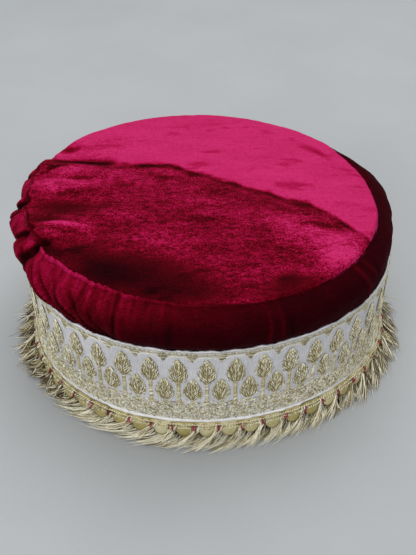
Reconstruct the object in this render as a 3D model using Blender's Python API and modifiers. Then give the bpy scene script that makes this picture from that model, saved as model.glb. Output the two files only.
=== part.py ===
"""An embroidered velvet pillbox cap, resting on its hem.

Metres, +Z up. The floor is z = 0, the head goes in from below, -Y is the front and -X is the
side where the velvet is gathered. Every ring of the cap is an oval about the Z axis, and an
azimuth is counted in degrees from +X towards +Y.
"""

import math
from typing import NamedTuple

import bmesh
import bpy

# Driving dimensions
HEAD_GIRTH = 0.562
VELVET = 0.0022
CROWN_CLOTH = 0.0020
RIBBON = 0.0010
SCALLOP_FOIL = 0.0008
HEADING_TAPE = 0.0007
CLEARANCE = 0.0003
CROWN_EDGE_GAP = 0.00045

SCALLOP_TIP_Z = 0.0055
SCALLOP_NOTCH_Z = 0.0109
RIBBON_BOTTOM_Z = 0.0135
RIBBON_TOP_Z = 0.0607
SWELL_Z = 0.0747
SEAM_Z = 0.0856
WELT_TOP_Z = 0.0862
HEADING_BOTTOM_Z = 0.0010

SCALLOPS = 54
SCALLOP_FLARE = 0.0014
# Where the points of a scallop's edge lie, and how far its round reaches, as shares of the half
# way from notch to notch
SCALLOP_STATIONS = (-1.0, -0.72, -0.42, 0.42, 0.72)
SCALLOP_ROUND = 0.76
LOCKS = 60

WALL_RADIUS = HEAD_GIRTH / math.tau + VELVET


class Outline(NamedTuple):
    """An oval ring: its mean radius, where its centre lies on X, and how far it is from round."""

    radius: float
    centre_x: float = 0.0
    oval: float = 0.0
    oval_turn: float = 0.0
    three: float = 0.0
    three_turn: float = 0.0

    def at(self, azimuth, outward=0.0):
        """The point of the ring at an azimuth, moved outward by some metres."""
        a = math.radians(azimuth)
        wave = self.oval * math.cos(2 * a) + self.oval_turn * math.sin(2 * a)
        wave += self.three * math.cos(3 * a) + self.three_turn * math.sin(3 * a)
        reach = self.radius * (1 + wave) + outward
        return self.centre_x + reach * math.cos(a), reach * math.sin(a)


BASE = Outline(WALL_RADIUS, 0.0, 0.0306, 0.0, 0.0104, -0.0094)
SWELL = Outline(0.0970, -0.0023, 0.0130)
SEAM = Outline(0.0888, -0.0034, 0.0180, -0.0154)


class WallRow(NamedTuple):
    """One ring of the side wall: its height, its share of each outline, and of the gathers."""

    height: float
    base: float
    swell: float
    seam: float
    gather: float


WALL_ROWS = (
    WallRow(0.0, 1.0, 0.0, 0.0, 0.0),
    WallRow(RIBBON_TOP_Z + CLEARANCE, 1.0, 0.0, 0.0, 0.0),
    WallRow(0.0636, 0.62, 0.38, 0.0, 0.75),
    WallRow(0.0682, 0.18, 0.82, 0.0, 1.0),
    WallRow(SWELL_Z, 0.0, 1.0, 0.0, 1.0),
    WallRow(0.0792, 0.0, 0.80, 0.20, 0.9),
    WallRow(0.0830, 0.0, 0.42, 0.58, 0.7),
    WallRow(SEAM_Z - 0.0004, 0.0, 0.07, 0.93, 0.5),
    WallRow(WELT_TOP_Z, 0.0, 0.0, 1.0, 0.5),
)


class Fold(NamedTuple):
    """A fold of the gathered velvet: a ridge stands out of the wall, a valley is below zero."""

    azimuth: float
    half_width: float
    height: float


FOLDS = (
    Fold(14.0, 22.0, 0.0030),
    Fold(140.0, 15.0, 0.0016),
    Fold(163.0, 12.0, 0.0040),
    Fold(175.5, 4.5, -0.0026),
    Fold(184.0, 7.0, 0.0016),
    Fold(192.5, 4.0, -0.0020),
    Fold(207.0, 4.5, -0.0028),
    Fold(216.5, 5.5, 0.0010),
    Fold(223.5, 4.0, -0.0014),
    Fold(232.5, 4.0, -0.0013),
    Fold(242.0, 4.5, -0.0012),
    Fold(248.5, 5.0, 0.0007),
    Fold(324.0, 7.0, 0.0008),
)


class CrownRow(NamedTuple):
    """One ring of the crown: its share of the edge's reach, its height and its share of creases."""

    share: float
    height: float
    crease: float


CROWN_ROWS = (
    CrownRow(1.000, SEAM_Z - 0.0008, 0.0),
    CrownRow(0.970, SEAM_Z + 0.0002, 0.5),
    CrownRow(0.880, SEAM_Z + 0.0010, 1.0),
    CrownRow(0.700, SEAM_Z + 0.0017, 0.7),
    CrownRow(0.420, SEAM_Z + 0.0022, 0.1),
)
CROWN_MIDDLE_Z = SEAM_Z + 0.0024

CREASES = (
    Fold(150.0, 8.0, -0.0016),
    Fold(163.0, 9.0, 0.0012),
    Fold(176.0, 6.0, 0.0013),
    Fold(188.0, 8.0, -0.0012),
    Fold(203.0, 7.0, 0.0012),
    Fold(216.0, 9.0, -0.0014),
)


class FringeRow(NamedTuple):
    """How the fringe lies at an azimuth: how far out it reaches, and how far round it sweeps."""

    azimuth: float
    reach: float
    sweep: float


FRINGE_ROWS = (
    FringeRow(0.0, 0.0128, -0.0030),
    FringeRow(45.0, 0.0115, 0.0),
    FringeRow(90.0, 0.0078, 0.0),
    FringeRow(135.0, 0.0118, 0.0),
    FringeRow(180.0, 0.0142, 0.0010),
    FringeRow(200.0, 0.0130, 0.0),
    FringeRow(215.0, 0.0092, -0.0020),
    FringeRow(240.0, 0.0082, -0.0040),
    FringeRow(270.0, 0.0080, -0.0050),
    FringeRow(300.0, 0.0078, -0.0050),
    FringeRow(320.0, 0.0088, -0.0050),
    FringeRow(340.0, 0.0120, -0.0040),
    FringeRow(360.0, 0.0128, -0.0030),
)


class LockRow(NamedTuple):
    """One station of a lock: its share of the reach, its height and its half width."""

    share: float
    height: float
    half_width: float


LOCK_ROWS = (
    LockRow(0.0, 0.0020, 0.0044),
    LockRow(0.12, 0.0020, 0.0046),
    LockRow(0.58, 0.0020, 0.0045),
    LockRow(1.0, 0.0008, 0.0014),
)
LOCK_FLATNESS = 0.42
# A lock rises and sweeps aside with this power of its share, so its root stays level and straight
LOCK_BEND = 3
LOCK_LIFTS = (0.0, 0.0022, 0.0006, 0.0034, 0.0002, 0.0014)

FINE_FROM, FINE_TO, FINE_STEP, COARSE_STEP = 135.0, 255.0, 2.0, 7.5

# Faces that meet at more than this keep a sharp edge
SHARP_DEG = 40.0

VELVET_RED = (0.30, 0.008, 0.055)
RIBBON_WHITE = (0.72, 0.72, 0.74)
FOIL_GOLD = (0.62, 0.47, 0.20)
THREAD_GOLD = (0.70, 0.58, 0.34)


def azimuths():
    """Where the rings of the cloth have their points: close together along the gathers."""
    angle, found = 0.0, []
    while angle < 360.0 - COARSE_STEP / 2:
        found.append(angle)
        angle += FINE_STEP if FINE_FROM <= angle < FINE_TO else COARSE_STEP
    return found


def fold_height(folds, azimuth):
    """How far the folds move the cloth at an azimuth, each a smooth wave that ends flat."""
    total = 0.0
    for fold in folds:
        away = (azimuth - fold.azimuth + 180.0) % 360.0 - 180.0
        if abs(away) < fold.half_width:
            total += fold.height * math.cos(away / fold.half_width * math.pi / 2) ** 2
    return total


def wall_point(row, azimuth):
    """A point of the side wall's outer face."""
    gather = row.gather * fold_height(FOLDS, azimuth)
    shares = ((row.base, BASE), (row.swell, SWELL), (row.seam, SEAM))
    points = [(share, outline.at(azimuth, gather)) for share, outline in shares]
    x = sum(share * point[0] for share, point in points)
    y = sum(share * point[1] for share, point in points)
    return x, y, row.height


def straight_ring(angles, outward, height):
    """A ring round the straight part of the wall, some metres out from its outer face."""
    return [(*BASE.at(angle, outward), height) for angle in angles]


def azimuth_at(share):
    """The azimuth at a share of the way round the straight wall, measured along the cloth."""
    corners = [BASE.at(angle) for angle in range(361)]
    lengths = [math.dist(a, b) for a, b in zip(corners, corners[1:])]
    left = share * sum(lengths)
    for angle, length in enumerate(lengths):
        if left <= length:
            return angle + left / length
        left -= length
    return 360.0


def fringe_at(azimuth):
    """The fringe's reach and sweep at an azimuth, blended smoothly between the table's rows."""
    for low, high in zip(FRINGE_ROWS, FRINGE_ROWS[1:]):
        if low.azimuth <= azimuth <= high.azimuth:
            t = (azimuth - low.azimuth) / (high.azimuth - low.azimuth)
            t = t * t * (3 - 2 * t)
            reach = low.reach + t * (high.reach - low.reach)
            return reach, low.sweep + t * (high.sweep - low.sweep)
    raise ValueError(f"no fringe row covers {azimuth}")


def clear_scene():
    """Removes whatever the scene holds at the start."""
    for thing in list(bpy.data.objects):
        bpy.data.objects.remove(thing)


def new_material(name, colour, roughness, metallic):
    """A Principled material of one colour."""
    material = bpy.data.materials.new(name)
    material.use_nodes = True
    shader = material.node_tree.nodes["Principled BSDF"]
    shader.inputs["Base Color"].default_value = (*colour, 1.0)
    shader.inputs["Roughness"].default_value = roughness
    shader.inputs["Metallic"].default_value = metallic
    return material


def ring_surface(name, rings, middle=None):
    """An open surface lofted up through closed rings of points, its faces outward, which a
    middle point closes at the last ring."""
    shape = bmesh.new()
    loops = [[shape.verts.new(point) for point in ring] for ring in rings]
    for lower, upper in zip(loops, loops[1:]):
        for i, corner in enumerate(lower):
            j = (i + 1) % len(lower)
            shape.faces.new((corner, lower[j], upper[j], upper[i]))
    if middle:
        peak = shape.verts.new(middle)
        last = loops[-1]
        for i, corner in enumerate(last):
            shape.faces.new((corner, last[(i + 1) % len(last)], peak))
    mesh = bpy.data.meshes.new(name)
    shape.to_mesh(mesh)
    shape.free()
    return mesh


def add_piece(name, mesh, material, collection):
    """Puts a mesh in the collection as a named piece of one material."""
    piece = bpy.data.objects.new(name, mesh)
    piece.data.materials.append(material)
    collection.objects.link(piece)
    piece.data.shade_smooth()
    piece.data.set_sharp_from_angle(angle=math.radians(SHARP_DEG))
    return piece


def thicken(piece, thickness, outward):
    """Gives an open surface its cloth's thickness, to its outside or to its inside."""
    shell = piece.modifiers.new("cloth", "SOLIDIFY")
    shell.thickness = thickness
    shell.offset = 1.0 if outward else -1.0
    shell.use_even_offset = True


def add_side_wall(collection, velvet):
    """The velvet side: straight under the trims, swelling above them up to the crown's welt."""
    rings = [[wall_point(row, angle) for angle in azimuths()] for row in WALL_ROWS]
    wall = add_piece("side_wall", ring_surface("side_wall", rings), velvet, collection)
    thicken(wall, VELVET, outward=False)


def crown_ring(row):
    """A ring of the crown, inside the welt that the side wall's top edge makes."""
    edge_inset = VELVET + CROWN_EDGE_GAP
    gather = WALL_ROWS[-1].gather
    ring = []
    for angle in azimuths():
        fold = gather * fold_height(FOLDS, angle)
        x, y = SEAM.at(angle, fold - edge_inset)
        x = SEAM.centre_x + (x - SEAM.centre_x) * row.share
        crease = row.crease * fold_height(CREASES, angle)
        ring.append((x, y * row.share, row.height + crease))
    return ring


def add_crown(collection, velvet):
    """The crown: a nearly flat round of velvet with creases that run in from the gathers."""
    rings = [crown_ring(row) for row in CROWN_ROWS]
    mesh = ring_surface("crown_top", rings, (SEAM.centre_x, 0.0, CROWN_MIDDLE_Z))
    crown = add_piece("crown_top", mesh, velvet, collection)
    thicken(crown, CROWN_CLOTH, outward=False)


def add_ribbon(collection, material):
    """The wide ribbon that carries the embroidery, wound once round the straight wall."""
    heights = (RIBBON_BOTTOM_Z, RIBBON_TOP_Z)
    rings = [straight_ring(azimuths(), CLEARANCE, height) for height in heights]
    ribbon = add_piece("embroidered_ribbon", ring_surface("ribbon", rings), material, collection)
    thicken(ribbon, RIBBON, outward=True)


def add_scallops(collection, material):
    """The strip of foil under the ribbon: a straight top edge over a row of half rounds."""
    inner = 2 * CLEARANCE + HEADING_TAPE
    depth = SCALLOP_NOTCH_Z - SCALLOP_TIP_Z
    angles, bottoms = [], []
    for number in range(SCALLOPS):
        for station in SCALLOP_STATIONS:
            angles.append(azimuth_at((number + 0.5 + station / 2) / SCALLOPS))
            rounded = max(0.0, 1 - (station / SCALLOP_ROUND) ** 2)
            bottoms.append(SCALLOP_NOTCH_Z - depth * math.sqrt(rounded))
    top_z = RIBBON_BOTTOM_Z - CLEARANCE
    lower = []
    for angle, bottom in zip(angles, bottoms):
        flare = SCALLOP_FLARE * (top_z - bottom) / (top_z - SCALLOP_TIP_Z)
        lower.append((*BASE.at(angle, inner + flare), bottom))
    rings = (lower, straight_ring(angles, inner, top_z))
    mesh = ring_surface("scallop_strip", rings)
    strip = add_piece("scallop_strip", mesh, material, collection)
    thicken(strip, SCALLOP_FOIL, outward=True)


def add_lock_curve(name, collection):
    """One flattened, tapered lock for each step round the fringe, as splines of one curve."""
    curve = bpy.data.curves.new(name, "CURVE")
    curve.dimensions = "3D"
    curve.twist_mode = "Z_UP"
    curve.bevel_depth = 1.0
    curve.bevel_resolution = 0
    curve.use_fill_caps = True
    root = CLEARANCE + HEADING_TAPE / 2
    for number in range(LOCKS):
        angle = (number + 0.5) * 360.0 / LOCKS
        reach, sweep = fringe_at(angle)
        lift = LOCK_LIFTS[number % len(LOCK_LIFTS)]
        spline = curve.splines.new("POLY")
        spline.points.add(len(LOCK_ROWS) - 1)
        for point, row in zip(spline.points, LOCK_ROWS):
            turned = angle + math.degrees(sweep / WALL_RADIUS) * row.share**LOCK_BEND
            x, y = BASE.at(turned, root + (reach - root) * row.share)
            height = row.height + lift * row.share**LOCK_BEND
            point.co = (x, y, height / LOCK_FLATNESS, 1.0)
            point.radius = row.half_width
    locks = bpy.data.objects.new(name, curve)
    locks.scale = (1.0, 1.0, LOCK_FLATNESS)
    collection.objects.link(locks)
    return locks


def mesh_from_curve(curve_object, collection):
    """Replaces a curve object with a mesh of the same shape, its caps welded on."""
    bpy.context.view_layer.update()
    graph = bpy.context.evaluated_depsgraph_get()
    mesh = bpy.data.meshes.new_from_object(curve_object.evaluated_get(graph))
    mesh.transform(curve_object.matrix_world)
    shape = bmesh.new()
    shape.from_mesh(mesh)
    bmesh.ops.remove_doubles(shape, verts=shape.verts, dist=0.00001)
    bmesh.ops.recalc_face_normals(shape, faces=shape.faces)
    shape.to_mesh(mesh)
    shape.free()
    name = curve_object.name + "_mesh"
    bpy.data.objects.remove(curve_object)
    solid = bpy.data.objects.new(name, mesh)
    collection.objects.link(solid)
    return solid


def add_fringe(collection, helpers, material):
    """The fringe: a heading tape sewn to the wall behind the scallops, and locks joined to it
    that spread over the floor."""
    heights = (HEADING_BOTTOM_Z, RIBBON_BOTTOM_Z - CLEARANCE)
    rings = [straight_ring(azimuths(), CLEARANCE, height) for height in heights]
    fringe = add_piece("fringe", ring_surface("fringe", rings), material, collection)
    thicken(fringe, HEADING_TAPE, outward=True)
    locks = mesh_from_curve(add_lock_curve("fringe_locks", helpers), helpers)
    locks.hide_render = True
    locks.display_type = "WIRE"
    join = fringe.modifiers.new("locks", "BOOLEAN")
    join.operation = "UNION"
    join.use_self = True
    join.object = locks


def main():
    """Builds the cap's five pieces."""
    clear_scene()
    scene = bpy.context.scene
    cap = bpy.data.collections.new("velvet_cap")
    helpers = bpy.data.collections.new("helpers")
    scene.collection.children.link(cap)
    scene.collection.children.link(helpers)
    velvet = new_material("velvet", VELVET_RED, 0.85, 0.0)
    add_side_wall(cap, velvet)
    add_crown(cap, velvet)
    add_ribbon(cap, new_material("ribbon", RIBBON_WHITE, 0.5, 0.0))
    add_scallops(cap, new_material("foil", FOIL_GOLD, 0.35, 0.9))
    add_fringe(cap, helpers, new_material("gold_thread", THREAD_GOLD, 0.4, 0.6))


main()
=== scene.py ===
"""Dresses an embroidered velvet cap: velvet, a worked ribbon, foil scallops and a thread fringe.

Metres, +Z up, the floor at z = 0 and the front at -Y. An azimuth is counted in degrees from +X
towards +Y. Tables give places on the crown in millimetres.
"""

import logging
import math
from dataclasses import dataclass
from enum import Enum
from typing import NamedTuple

import bpy
import numpy as np
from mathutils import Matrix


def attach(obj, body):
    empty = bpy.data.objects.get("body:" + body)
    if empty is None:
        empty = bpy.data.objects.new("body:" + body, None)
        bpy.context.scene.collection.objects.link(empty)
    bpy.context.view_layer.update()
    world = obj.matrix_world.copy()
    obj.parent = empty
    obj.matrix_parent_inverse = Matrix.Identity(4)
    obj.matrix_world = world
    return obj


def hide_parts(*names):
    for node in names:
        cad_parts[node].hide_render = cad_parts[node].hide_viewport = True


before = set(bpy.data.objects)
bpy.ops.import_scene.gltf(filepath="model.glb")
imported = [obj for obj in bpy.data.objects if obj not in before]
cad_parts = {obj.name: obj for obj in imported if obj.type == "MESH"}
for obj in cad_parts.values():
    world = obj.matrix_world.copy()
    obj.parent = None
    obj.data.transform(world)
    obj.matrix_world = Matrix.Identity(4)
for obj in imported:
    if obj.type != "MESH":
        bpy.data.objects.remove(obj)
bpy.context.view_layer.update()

log = logging.getLogger("velvet_cap")

MM = 0.001
HEAD_GIRTH = 0.562
VELVET = 0.0022
# How many metres of the wall a degree is, about, for the ripples that run round it
DEGREE = 0.0016

Colour = tuple[float, float, float]
Point = tuple[float, float, float]
Amount = np.ndarray | float


# Shader maths


class Signal:
    """A value that varies over a surface: the output socket of a node, with arithmetic."""

    def __init__(self, recipe: "Recipe", socket: bpy.types.NodeSocket) -> None:
        """Keeps the socket and the recipe it belongs to."""
        self.recipe = recipe
        self.socket = socket

    def _maths(self, operation: str, *terms: "Signal | float") -> "Signal":
        """Adds one Math node over these terms."""
        return self.recipe.signal("ShaderNodeMath", {"operation": operation}, dict(enumerate(terms)))

    def __add__(self, other: "Signal | float") -> "Signal":
        """The sum."""
        return self._maths("ADD", self, other)

    __radd__ = __add__

    def __sub__(self, other: "Signal | float") -> "Signal":
        """This value less the other."""
        return self._maths("SUBTRACT", self, other)

    def __rsub__(self, other: float) -> "Signal":
        """A plain number less this value."""
        return self._maths("SUBTRACT", other, self)

    def __mul__(self, other: "Signal | float") -> "Signal":
        """The product."""
        return self._maths("MULTIPLY", self, other)

    __rmul__ = __mul__

    def smooth(self, low: float, high: float) -> "Signal":
        """A soft step.

        Args:
            low: where the step begins, at 0.
            high: where it ends, at 1.

        Returns:
            The step's value.
        """
        settings = {"interpolation_type": "SMOOTHSTEP"}
        inputs = {"Value": self, "From Min": low, "From Max": high}
        return self.recipe.signal("ShaderNodeMapRange", settings, inputs)


class Recipe:
    """The node tree of one finish, round its Principled shader."""

    def __init__(self, name: str, constants: dict[str, object]) -> None:
        """Starts a material.

        Args:
            name: the material's name.
            constants: values set on the shader's own sockets.
        """
        self.material = bpy.data.materials.new(name)
        self.material.use_nodes = True
        self.tree = self.material.node_tree
        self.shader = self.tree.nodes["Principled BSDF"]
        for socket, value in constants.items():
            self.shader.inputs[socket].default_value = value

    def feed(self, socket: bpy.types.NodeSocket, value: object) -> None:
        """Links a signal to a socket, or sets a plain value on it.

        Args:
            socket: the socket.
            value: the signal or the value.
        """
        if isinstance(value, Signal):
            self.tree.links.new(value.socket, socket)
        else:
            socket.default_value = value

    def node(
        self,
        kind: str,
        settings: dict[str, object] | None = None,
        inputs: dict[str | int, object] | None = None,
    ) -> bpy.types.Node:
        """Adds a node.

        Args:
            kind: the node's type.
            settings: its properties, and the stops of a ramp, set before anything is linked.
            inputs: the value or signal of each socket, by name or place.

        Returns:
            The node.
        """
        node = self.tree.nodes.new(kind)
        for name, value in (settings or {}).items():
            if name == "stops":
                ramp = node.color_ramp
                while len(ramp.elements) < len(value):
                    ramp.elements.new(1.0)
                for element, (place, colour) in zip(ramp.elements, value):
                    element.position = place
                    element.color = (*colour, 1.0)
            else:
                setattr(node, name, value)
        for name, value in (inputs or {}).items():
            self.feed(node.inputs[name], value)
        return node

    def signal(
        self,
        kind: str,
        settings: dict[str, object] | None = None,
        inputs: dict[str | int, object] | None = None,
        output: str | int = 0,
    ) -> Signal:
        """Adds a node and returns one of its outputs.

        Args:
            kind: the node's type.
            settings: its properties.
            inputs: its sockets' values or signals.
            output: the output wanted.

        Returns:
            That output as a signal.
        """
        return Signal(self, self.node(kind, settings, inputs).outputs[output])

    def place(self, stretch: Point = (1.0, 1.0, 1.0)) -> Signal:
        """The point of the surface, in the cap's own frame, stretched along its axes."""
        point = self.signal("ShaderNodeTexCoord", output="Object")
        return self.signal("ShaderNodeVectorMath", {"operation": "MULTIPLY"}, {0: point, 1: stretch})

    def noise(self, scale: float, detail: float = 2.0, stretch: Point = (1.0, 1.0, 1.0)) -> Signal:
        """Cloudy noise.

        Args:
            scale: how many features lie in a metre.
            detail: how many finer layers it has.
            stretch: how its places are scaled along X, Y and Z.

        Returns:
            A value near 0.5.
        """
        inputs = {"Vector": self.place(stretch), "Scale": scale, "Detail": detail}
        return self.signal("ShaderNodeTexNoise", {}, inputs)

    def painted(self, name: str) -> Signal:
        """A value painted on the mesh's points."""
        return self.signal("ShaderNodeAttribute", {"attribute_name": name}, output="Fac")

    def colour(self, value: Signal, stops: tuple[tuple[float, Colour], ...]) -> None:
        """Colours the surface by a value along a row of stops."""
        ramp = self.signal("ShaderNodeValToRGB", {"stops": stops}, {"Fac": value})
        self.feed(self.shader.inputs["Base Color"], ramp)

    def raise_pile(self, height: Signal, strength: float, distance: float) -> None:
        """Gives the surface a fine relief.

        Args:
            height: the relief, 0 to 1.
            strength: how strongly it is felt.
            distance: its depth in metres.
        """
        inputs = {"Strength": strength, "Distance": distance, "Height": height}
        self.feed(self.shader.inputs["Normal"], self.signal("ShaderNodeBump", {}, inputs))


def linear(red: int, green: int, blue: int, gain: float = 1.0) -> Colour:
    """A colour as it is seen, 0 to 255, made linear.

    Args:
        red: its red.
        green: its green.
        blue: its blue.
        gain: how much brighter the surface is than it is seen.

    Returns:
        The linear colour.
    """
    parts = []
    for part in (red, green, blue):
        share = part / 255
        share = share / 12.92 if share <= 0.04045 else ((share + 0.055) / 1.055) ** 2.4
        parts.append(min(1.0, share * gain))
    return tuple(parts)


# Finishes


@dataclass(frozen=True)
class VelvetFinish:
    """Silk velvet: its colour runs along a ramp from pile in painted shade to pile with painted sheen."""

    name: str
    gain: float = 0.75
    speckle: float = 1.0
    scuff: float = 0.0
    # The velvet's colours as seen, from pile in painted shade to pile with painted sheen
    seen: tuple[tuple[float, tuple[int, int, int]], ...] = (
        (0.0, (16, 0, 2)),
        (0.18, (44, 0, 5)),
        (0.34, (80, 1, 12)),
        (0.50, (114, 3, 26)),
        (0.66, (152, 9, 53)),
        (0.82, (178, 22, 78)),
        (0.94, (193, 38, 97)),
        (1.0, (204, 46, 107)),
    )

    def material(self) -> bpy.types.Material:
        """Makes the velvet, coloured by the painted sheen and shade and broken up where it is crushed.

        Returns:
            The velvet.
        """
        constants = {
            "Roughness": 0.85,
            "Specular IOR Level": 0.02,
            "Sheen Weight": 0.03,
            "Sheen Roughness": 0.4,
            "Sheen Tint": (*linear(220, 30, 90), 1.0),
        }
        recipe = Recipe(self.name, constants)
        nap, crush = recipe.painted("nap"), recipe.painted("crush")
        clouds = recipe.noise(75.0, 4.0, (0.6, 1.3, 1.0)) - 0.5
        tufts = recipe.noise(480.0, 3.0, (0.6, 1.2, 1.0)) - 0.5
        specks = recipe.noise(1500.0, 2.0, (0.8, 1.1, 1.0)) - 0.5
        broken = clouds * 0.55 + tufts * (0.75 * self.speckle) + specks * (1.15 * self.speckle)
        value = nap + crush * broken + clouds * 0.08 + specks * 0.16
        scuffs = recipe.noise(95.0, 3.0, (0.6, 1.5, 1.0)).smooth(0.57, 0.72)
        value = value - scuffs * (tufts + 0.62) * self.scuff
        recipe.colour(value, tuple((place, linear(*seen, self.gain)) for place, seen in self.seen))
        recipe.raise_pile(specks * 0.6 + tufts * 0.8 + 0.5, 0.35, 0.0009)
        return recipe.material


@dataclass(frozen=True)
class BackingFinish:
    """The woven back of the velvet, seen inside the cap."""

    name: str = "velvet_backing"

    def material(self) -> bpy.types.Material:
        """Makes a dull crimson cloth with a plain weave.

        Returns:
            The cloth.
        """
        recipe = Recipe(self.name, {"Roughness": 0.9, "Specular IOR Level": 0.1})
        weave = recipe.noise(1800.0, 1.0, (1.0, 1.0, 0.3))
        stops = ((0.3, linear(70, 10, 26)), (0.7, linear(104, 20, 44)))
        recipe.colour(weave * 0.5 + recipe.noise(60.0, 3.0) * 0.5, stops)
        recipe.raise_pile(weave, 0.5, 0.0005)
        return recipe.material


@dataclass(frozen=True)
class SatinFinish:
    """White satin ribbon with a fine upright rib, faintly soiled, its edges whitened by a painted
    highlight.
    """

    name: str = "ribbon_satin"

    def material(self) -> bpy.types.Material:
        """Makes the satin.

        Returns:
            The satin.
        """
        constants = {"Roughness": 0.46, "Specular IOR Level": 0.4, "Sheen Weight": 0.1}
        recipe = Recipe(self.name, constants)
        rib = recipe.noise(1500.0, 1.0, (1.0, 1.0, 0.12))
        soil = recipe.noise(90.0, 4.0)
        edge = recipe.painted("edge")
        # The edges are whitened as a painted highlight
        value = soil * 0.5 + rib * 0.45 + edge * 0.5
        stops = (
            (0.2, linear(174, 172, 174)),
            (0.5, linear(196, 195, 198)),
            (0.8, linear(222, 221, 224)),
            (1.0, linear(240, 239, 240)),
        )
        recipe.colour(value, stops)
        recipe.raise_pile(rib * 0.35 + recipe.noise(260.0, 3.0), 0.55, 0.0014)
        return recipe.material


@dataclass(frozen=True)
class ThreadFinish:
    """Shiny thread: each strand has its own tone, and fine twist along it."""

    name: str
    dark: Colour
    middle: Colour
    light: Colour
    metallic: float
    roughness: float

    def material(self) -> bpy.types.Material:
        """Makes the thread.

        Returns:
            The thread.
        """
        recipe = Recipe(self.name, {"Metallic": self.metallic, "Specular IOR Level": 0.5})
        tone, twist = recipe.painted("tone"), recipe.noise(2600.0, 2.0)
        stops = ((0.0, self.dark), (0.5, self.middle), (1.0, self.light))
        recipe.colour(tone + (twist - 0.5) * 0.7, stops)
        recipe.feed(recipe.shader.inputs["Roughness"], self.roughness + (twist - 0.5) * 0.3)
        recipe.raise_pile(twist, 0.4, 0.0003)
        return recipe.material


@dataclass(frozen=True)
class FoilFinish:
    """Thin gold foil pressed on cloth: smooth, soft in its shine and faintly creased."""

    name: str = "scallop_foil"

    def material(self) -> bpy.types.Material:
        """Makes the foil.

        Returns:
            The foil.
        """
        recipe = Recipe(self.name, {"Metallic": 0.55, "Specular IOR Level": 0.5})
        clouds, cloth = recipe.noise(160.0, 3.0), recipe.noise(1500.0, 2.0, (1.0, 1.0, 0.6))
        rim, tone = recipe.painted("edge"), recipe.painted("tone")
        # The rim and the notches are darkened as painted shade
        value = clouds * 0.4 + tone * 0.5 - rim * 0.3 + (cloth - 0.5) * 0.5
        stops = (
            (0.0, linear(122, 106, 54)),
            (0.4, linear(186, 173, 108)),
            (0.8, linear(224, 216, 176)),
        )
        recipe.colour(value, stops)
        recipe.feed(recipe.shader.inputs["Roughness"], clouds * 0.3 + 0.28)
        recipe.raise_pile(clouds * 0.5 + cloth * 0.5, 0.3, 0.0006)
        return recipe.material


@dataclass(frozen=True)
class FloorFinish:
    """Plain pale paper."""

    name: str = "floor_paper"
    gain: float = 0.91

    def material(self) -> bpy.types.Material:
        """Makes the floor's paper.

        Returns:
            The paper.
        """
        recipe = Recipe(self.name, {"Roughness": 0.9, "Specular IOR Level": 0.1})
        stops = ((0.3, linear(168, 170, 171, self.gain)), (0.7, linear(174, 176, 177, self.gain)))
        recipe.colour(recipe.noise(9.0, 5.0), stops)
        recipe.raise_pile(recipe.noise(900.0, 2.0), 0.15, 0.0006)
        return recipe.material


class Thread(Enum):
    """The threads that the cap is worked in."""

    STITCH_GOLD = ThreadFinish(
        "stitch_gold", linear(104, 90, 48), linear(198, 185, 132), linear(255, 252, 232), 0.12, 0.36
    )
    # The leaves' padded ground, dark gold as painted shade in the gaps between the veins
    FILL_GOLD = ThreadFinish(
        "fill_gold_painted_shade", linear(90, 76, 42), linear(134, 118, 74), linear(168, 152, 106), 0.1, 0.7
    )
    FRINGE_GOLD = ThreadFinish(
        "fringe_gold", linear(74, 56, 30), linear(192, 175, 126), linear(255, 250, 226), 0.20, 0.38
    )
    CRIMSON = ThreadFinish(
        "crimson_thread", linear(60, 1, 14), linear(136, 6, 42), linear(176, 24, 70), 0.0, 0.6
    )


# Shapes


class Outline(NamedTuple):
    """An oval ring: its mean radius, where its centre lies on X, and how far it is from round."""

    radius: float
    centre_x: float = 0.0
    oval: float = 0.0
    oval_turn: float = 0.0
    three: float = 0.0
    three_turn: float = 0.0

    def at(self, azimuth: np.ndarray, outward: Amount = 0.0) -> np.ndarray:
        """Points of the ring.

        Args:
            azimuth: where they are, in degrees.
            outward: how far they are moved outward.

        Returns:
            Their X and Y.
        """
        a = np.radians(azimuth)
        wave = self.oval * np.cos(2 * a) + self.oval_turn * np.sin(2 * a)
        wave = wave + self.three * np.cos(3 * a) + self.three_turn * np.sin(3 * a)
        reach = self.radius * (1 + wave) + outward
        return np.stack((self.centre_x + reach * np.cos(a), reach * np.sin(a)), -1)


class Fold(NamedTuple):
    """A fold of the gathered velvet: a ridge stands out of the wall, a valley is below zero."""

    azimuth: float
    half_width: float
    height: float


class Tuck(NamedTuple):
    """A place where the gathers pinch the seam: how far it is drawn inward, and how far down."""

    azimuth: float
    half_width: float
    depth: float
    drop: float


class RimRow(NamedTuple):
    """How side and crown meet at an azimuth: how far the side's welt stands up, how far the crown
    reaches over the seam, and how fully it covers it."""

    azimuth: Amount
    welt: Amount
    reach: Amount
    cover: Amount


def look_up(table: tuple[tuple[float, ...], ...], azimuth: np.ndarray) -> list[np.ndarray]:
    """Reads a table whose rows begin with an azimuth.

    Args:
        table: its rows, from 0 to 360 degrees.
        azimuth: where it is read.

    Returns:
        The value of each further column there, evenly between the rows.
    """
    rows = np.array(table)
    return [np.interp(azimuth % 360, rows[:, 0], column) for column in rows.T[1:]]


def bump(azimuth: np.ndarray, middle: Amount, half_width: float) -> np.ndarray:
    """A smooth bump over azimuths: 1 at its middle and 0 from its half width on."""
    away = (azimuth - middle + 180.0) % 360.0 - 180.0
    return np.cos(np.clip(away / half_width, -1, 1) * math.pi / 2)


def fold_height(folds: tuple[Fold, ...], azimuth: np.ndarray) -> np.ndarray:
    """How far the folds move the cloth, each a smooth wave that ends flat.

    Args:
        folds: the folds.
        azimuth: where it is asked, in degrees.

    Returns:
        How far it is moved outward at each azimuth.
    """
    total = np.zeros_like(azimuth)
    for fold in folds:
        total = total + fold.height * bump(azimuth, fold.azimuth, fold.half_width) ** 2
    return total


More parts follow.
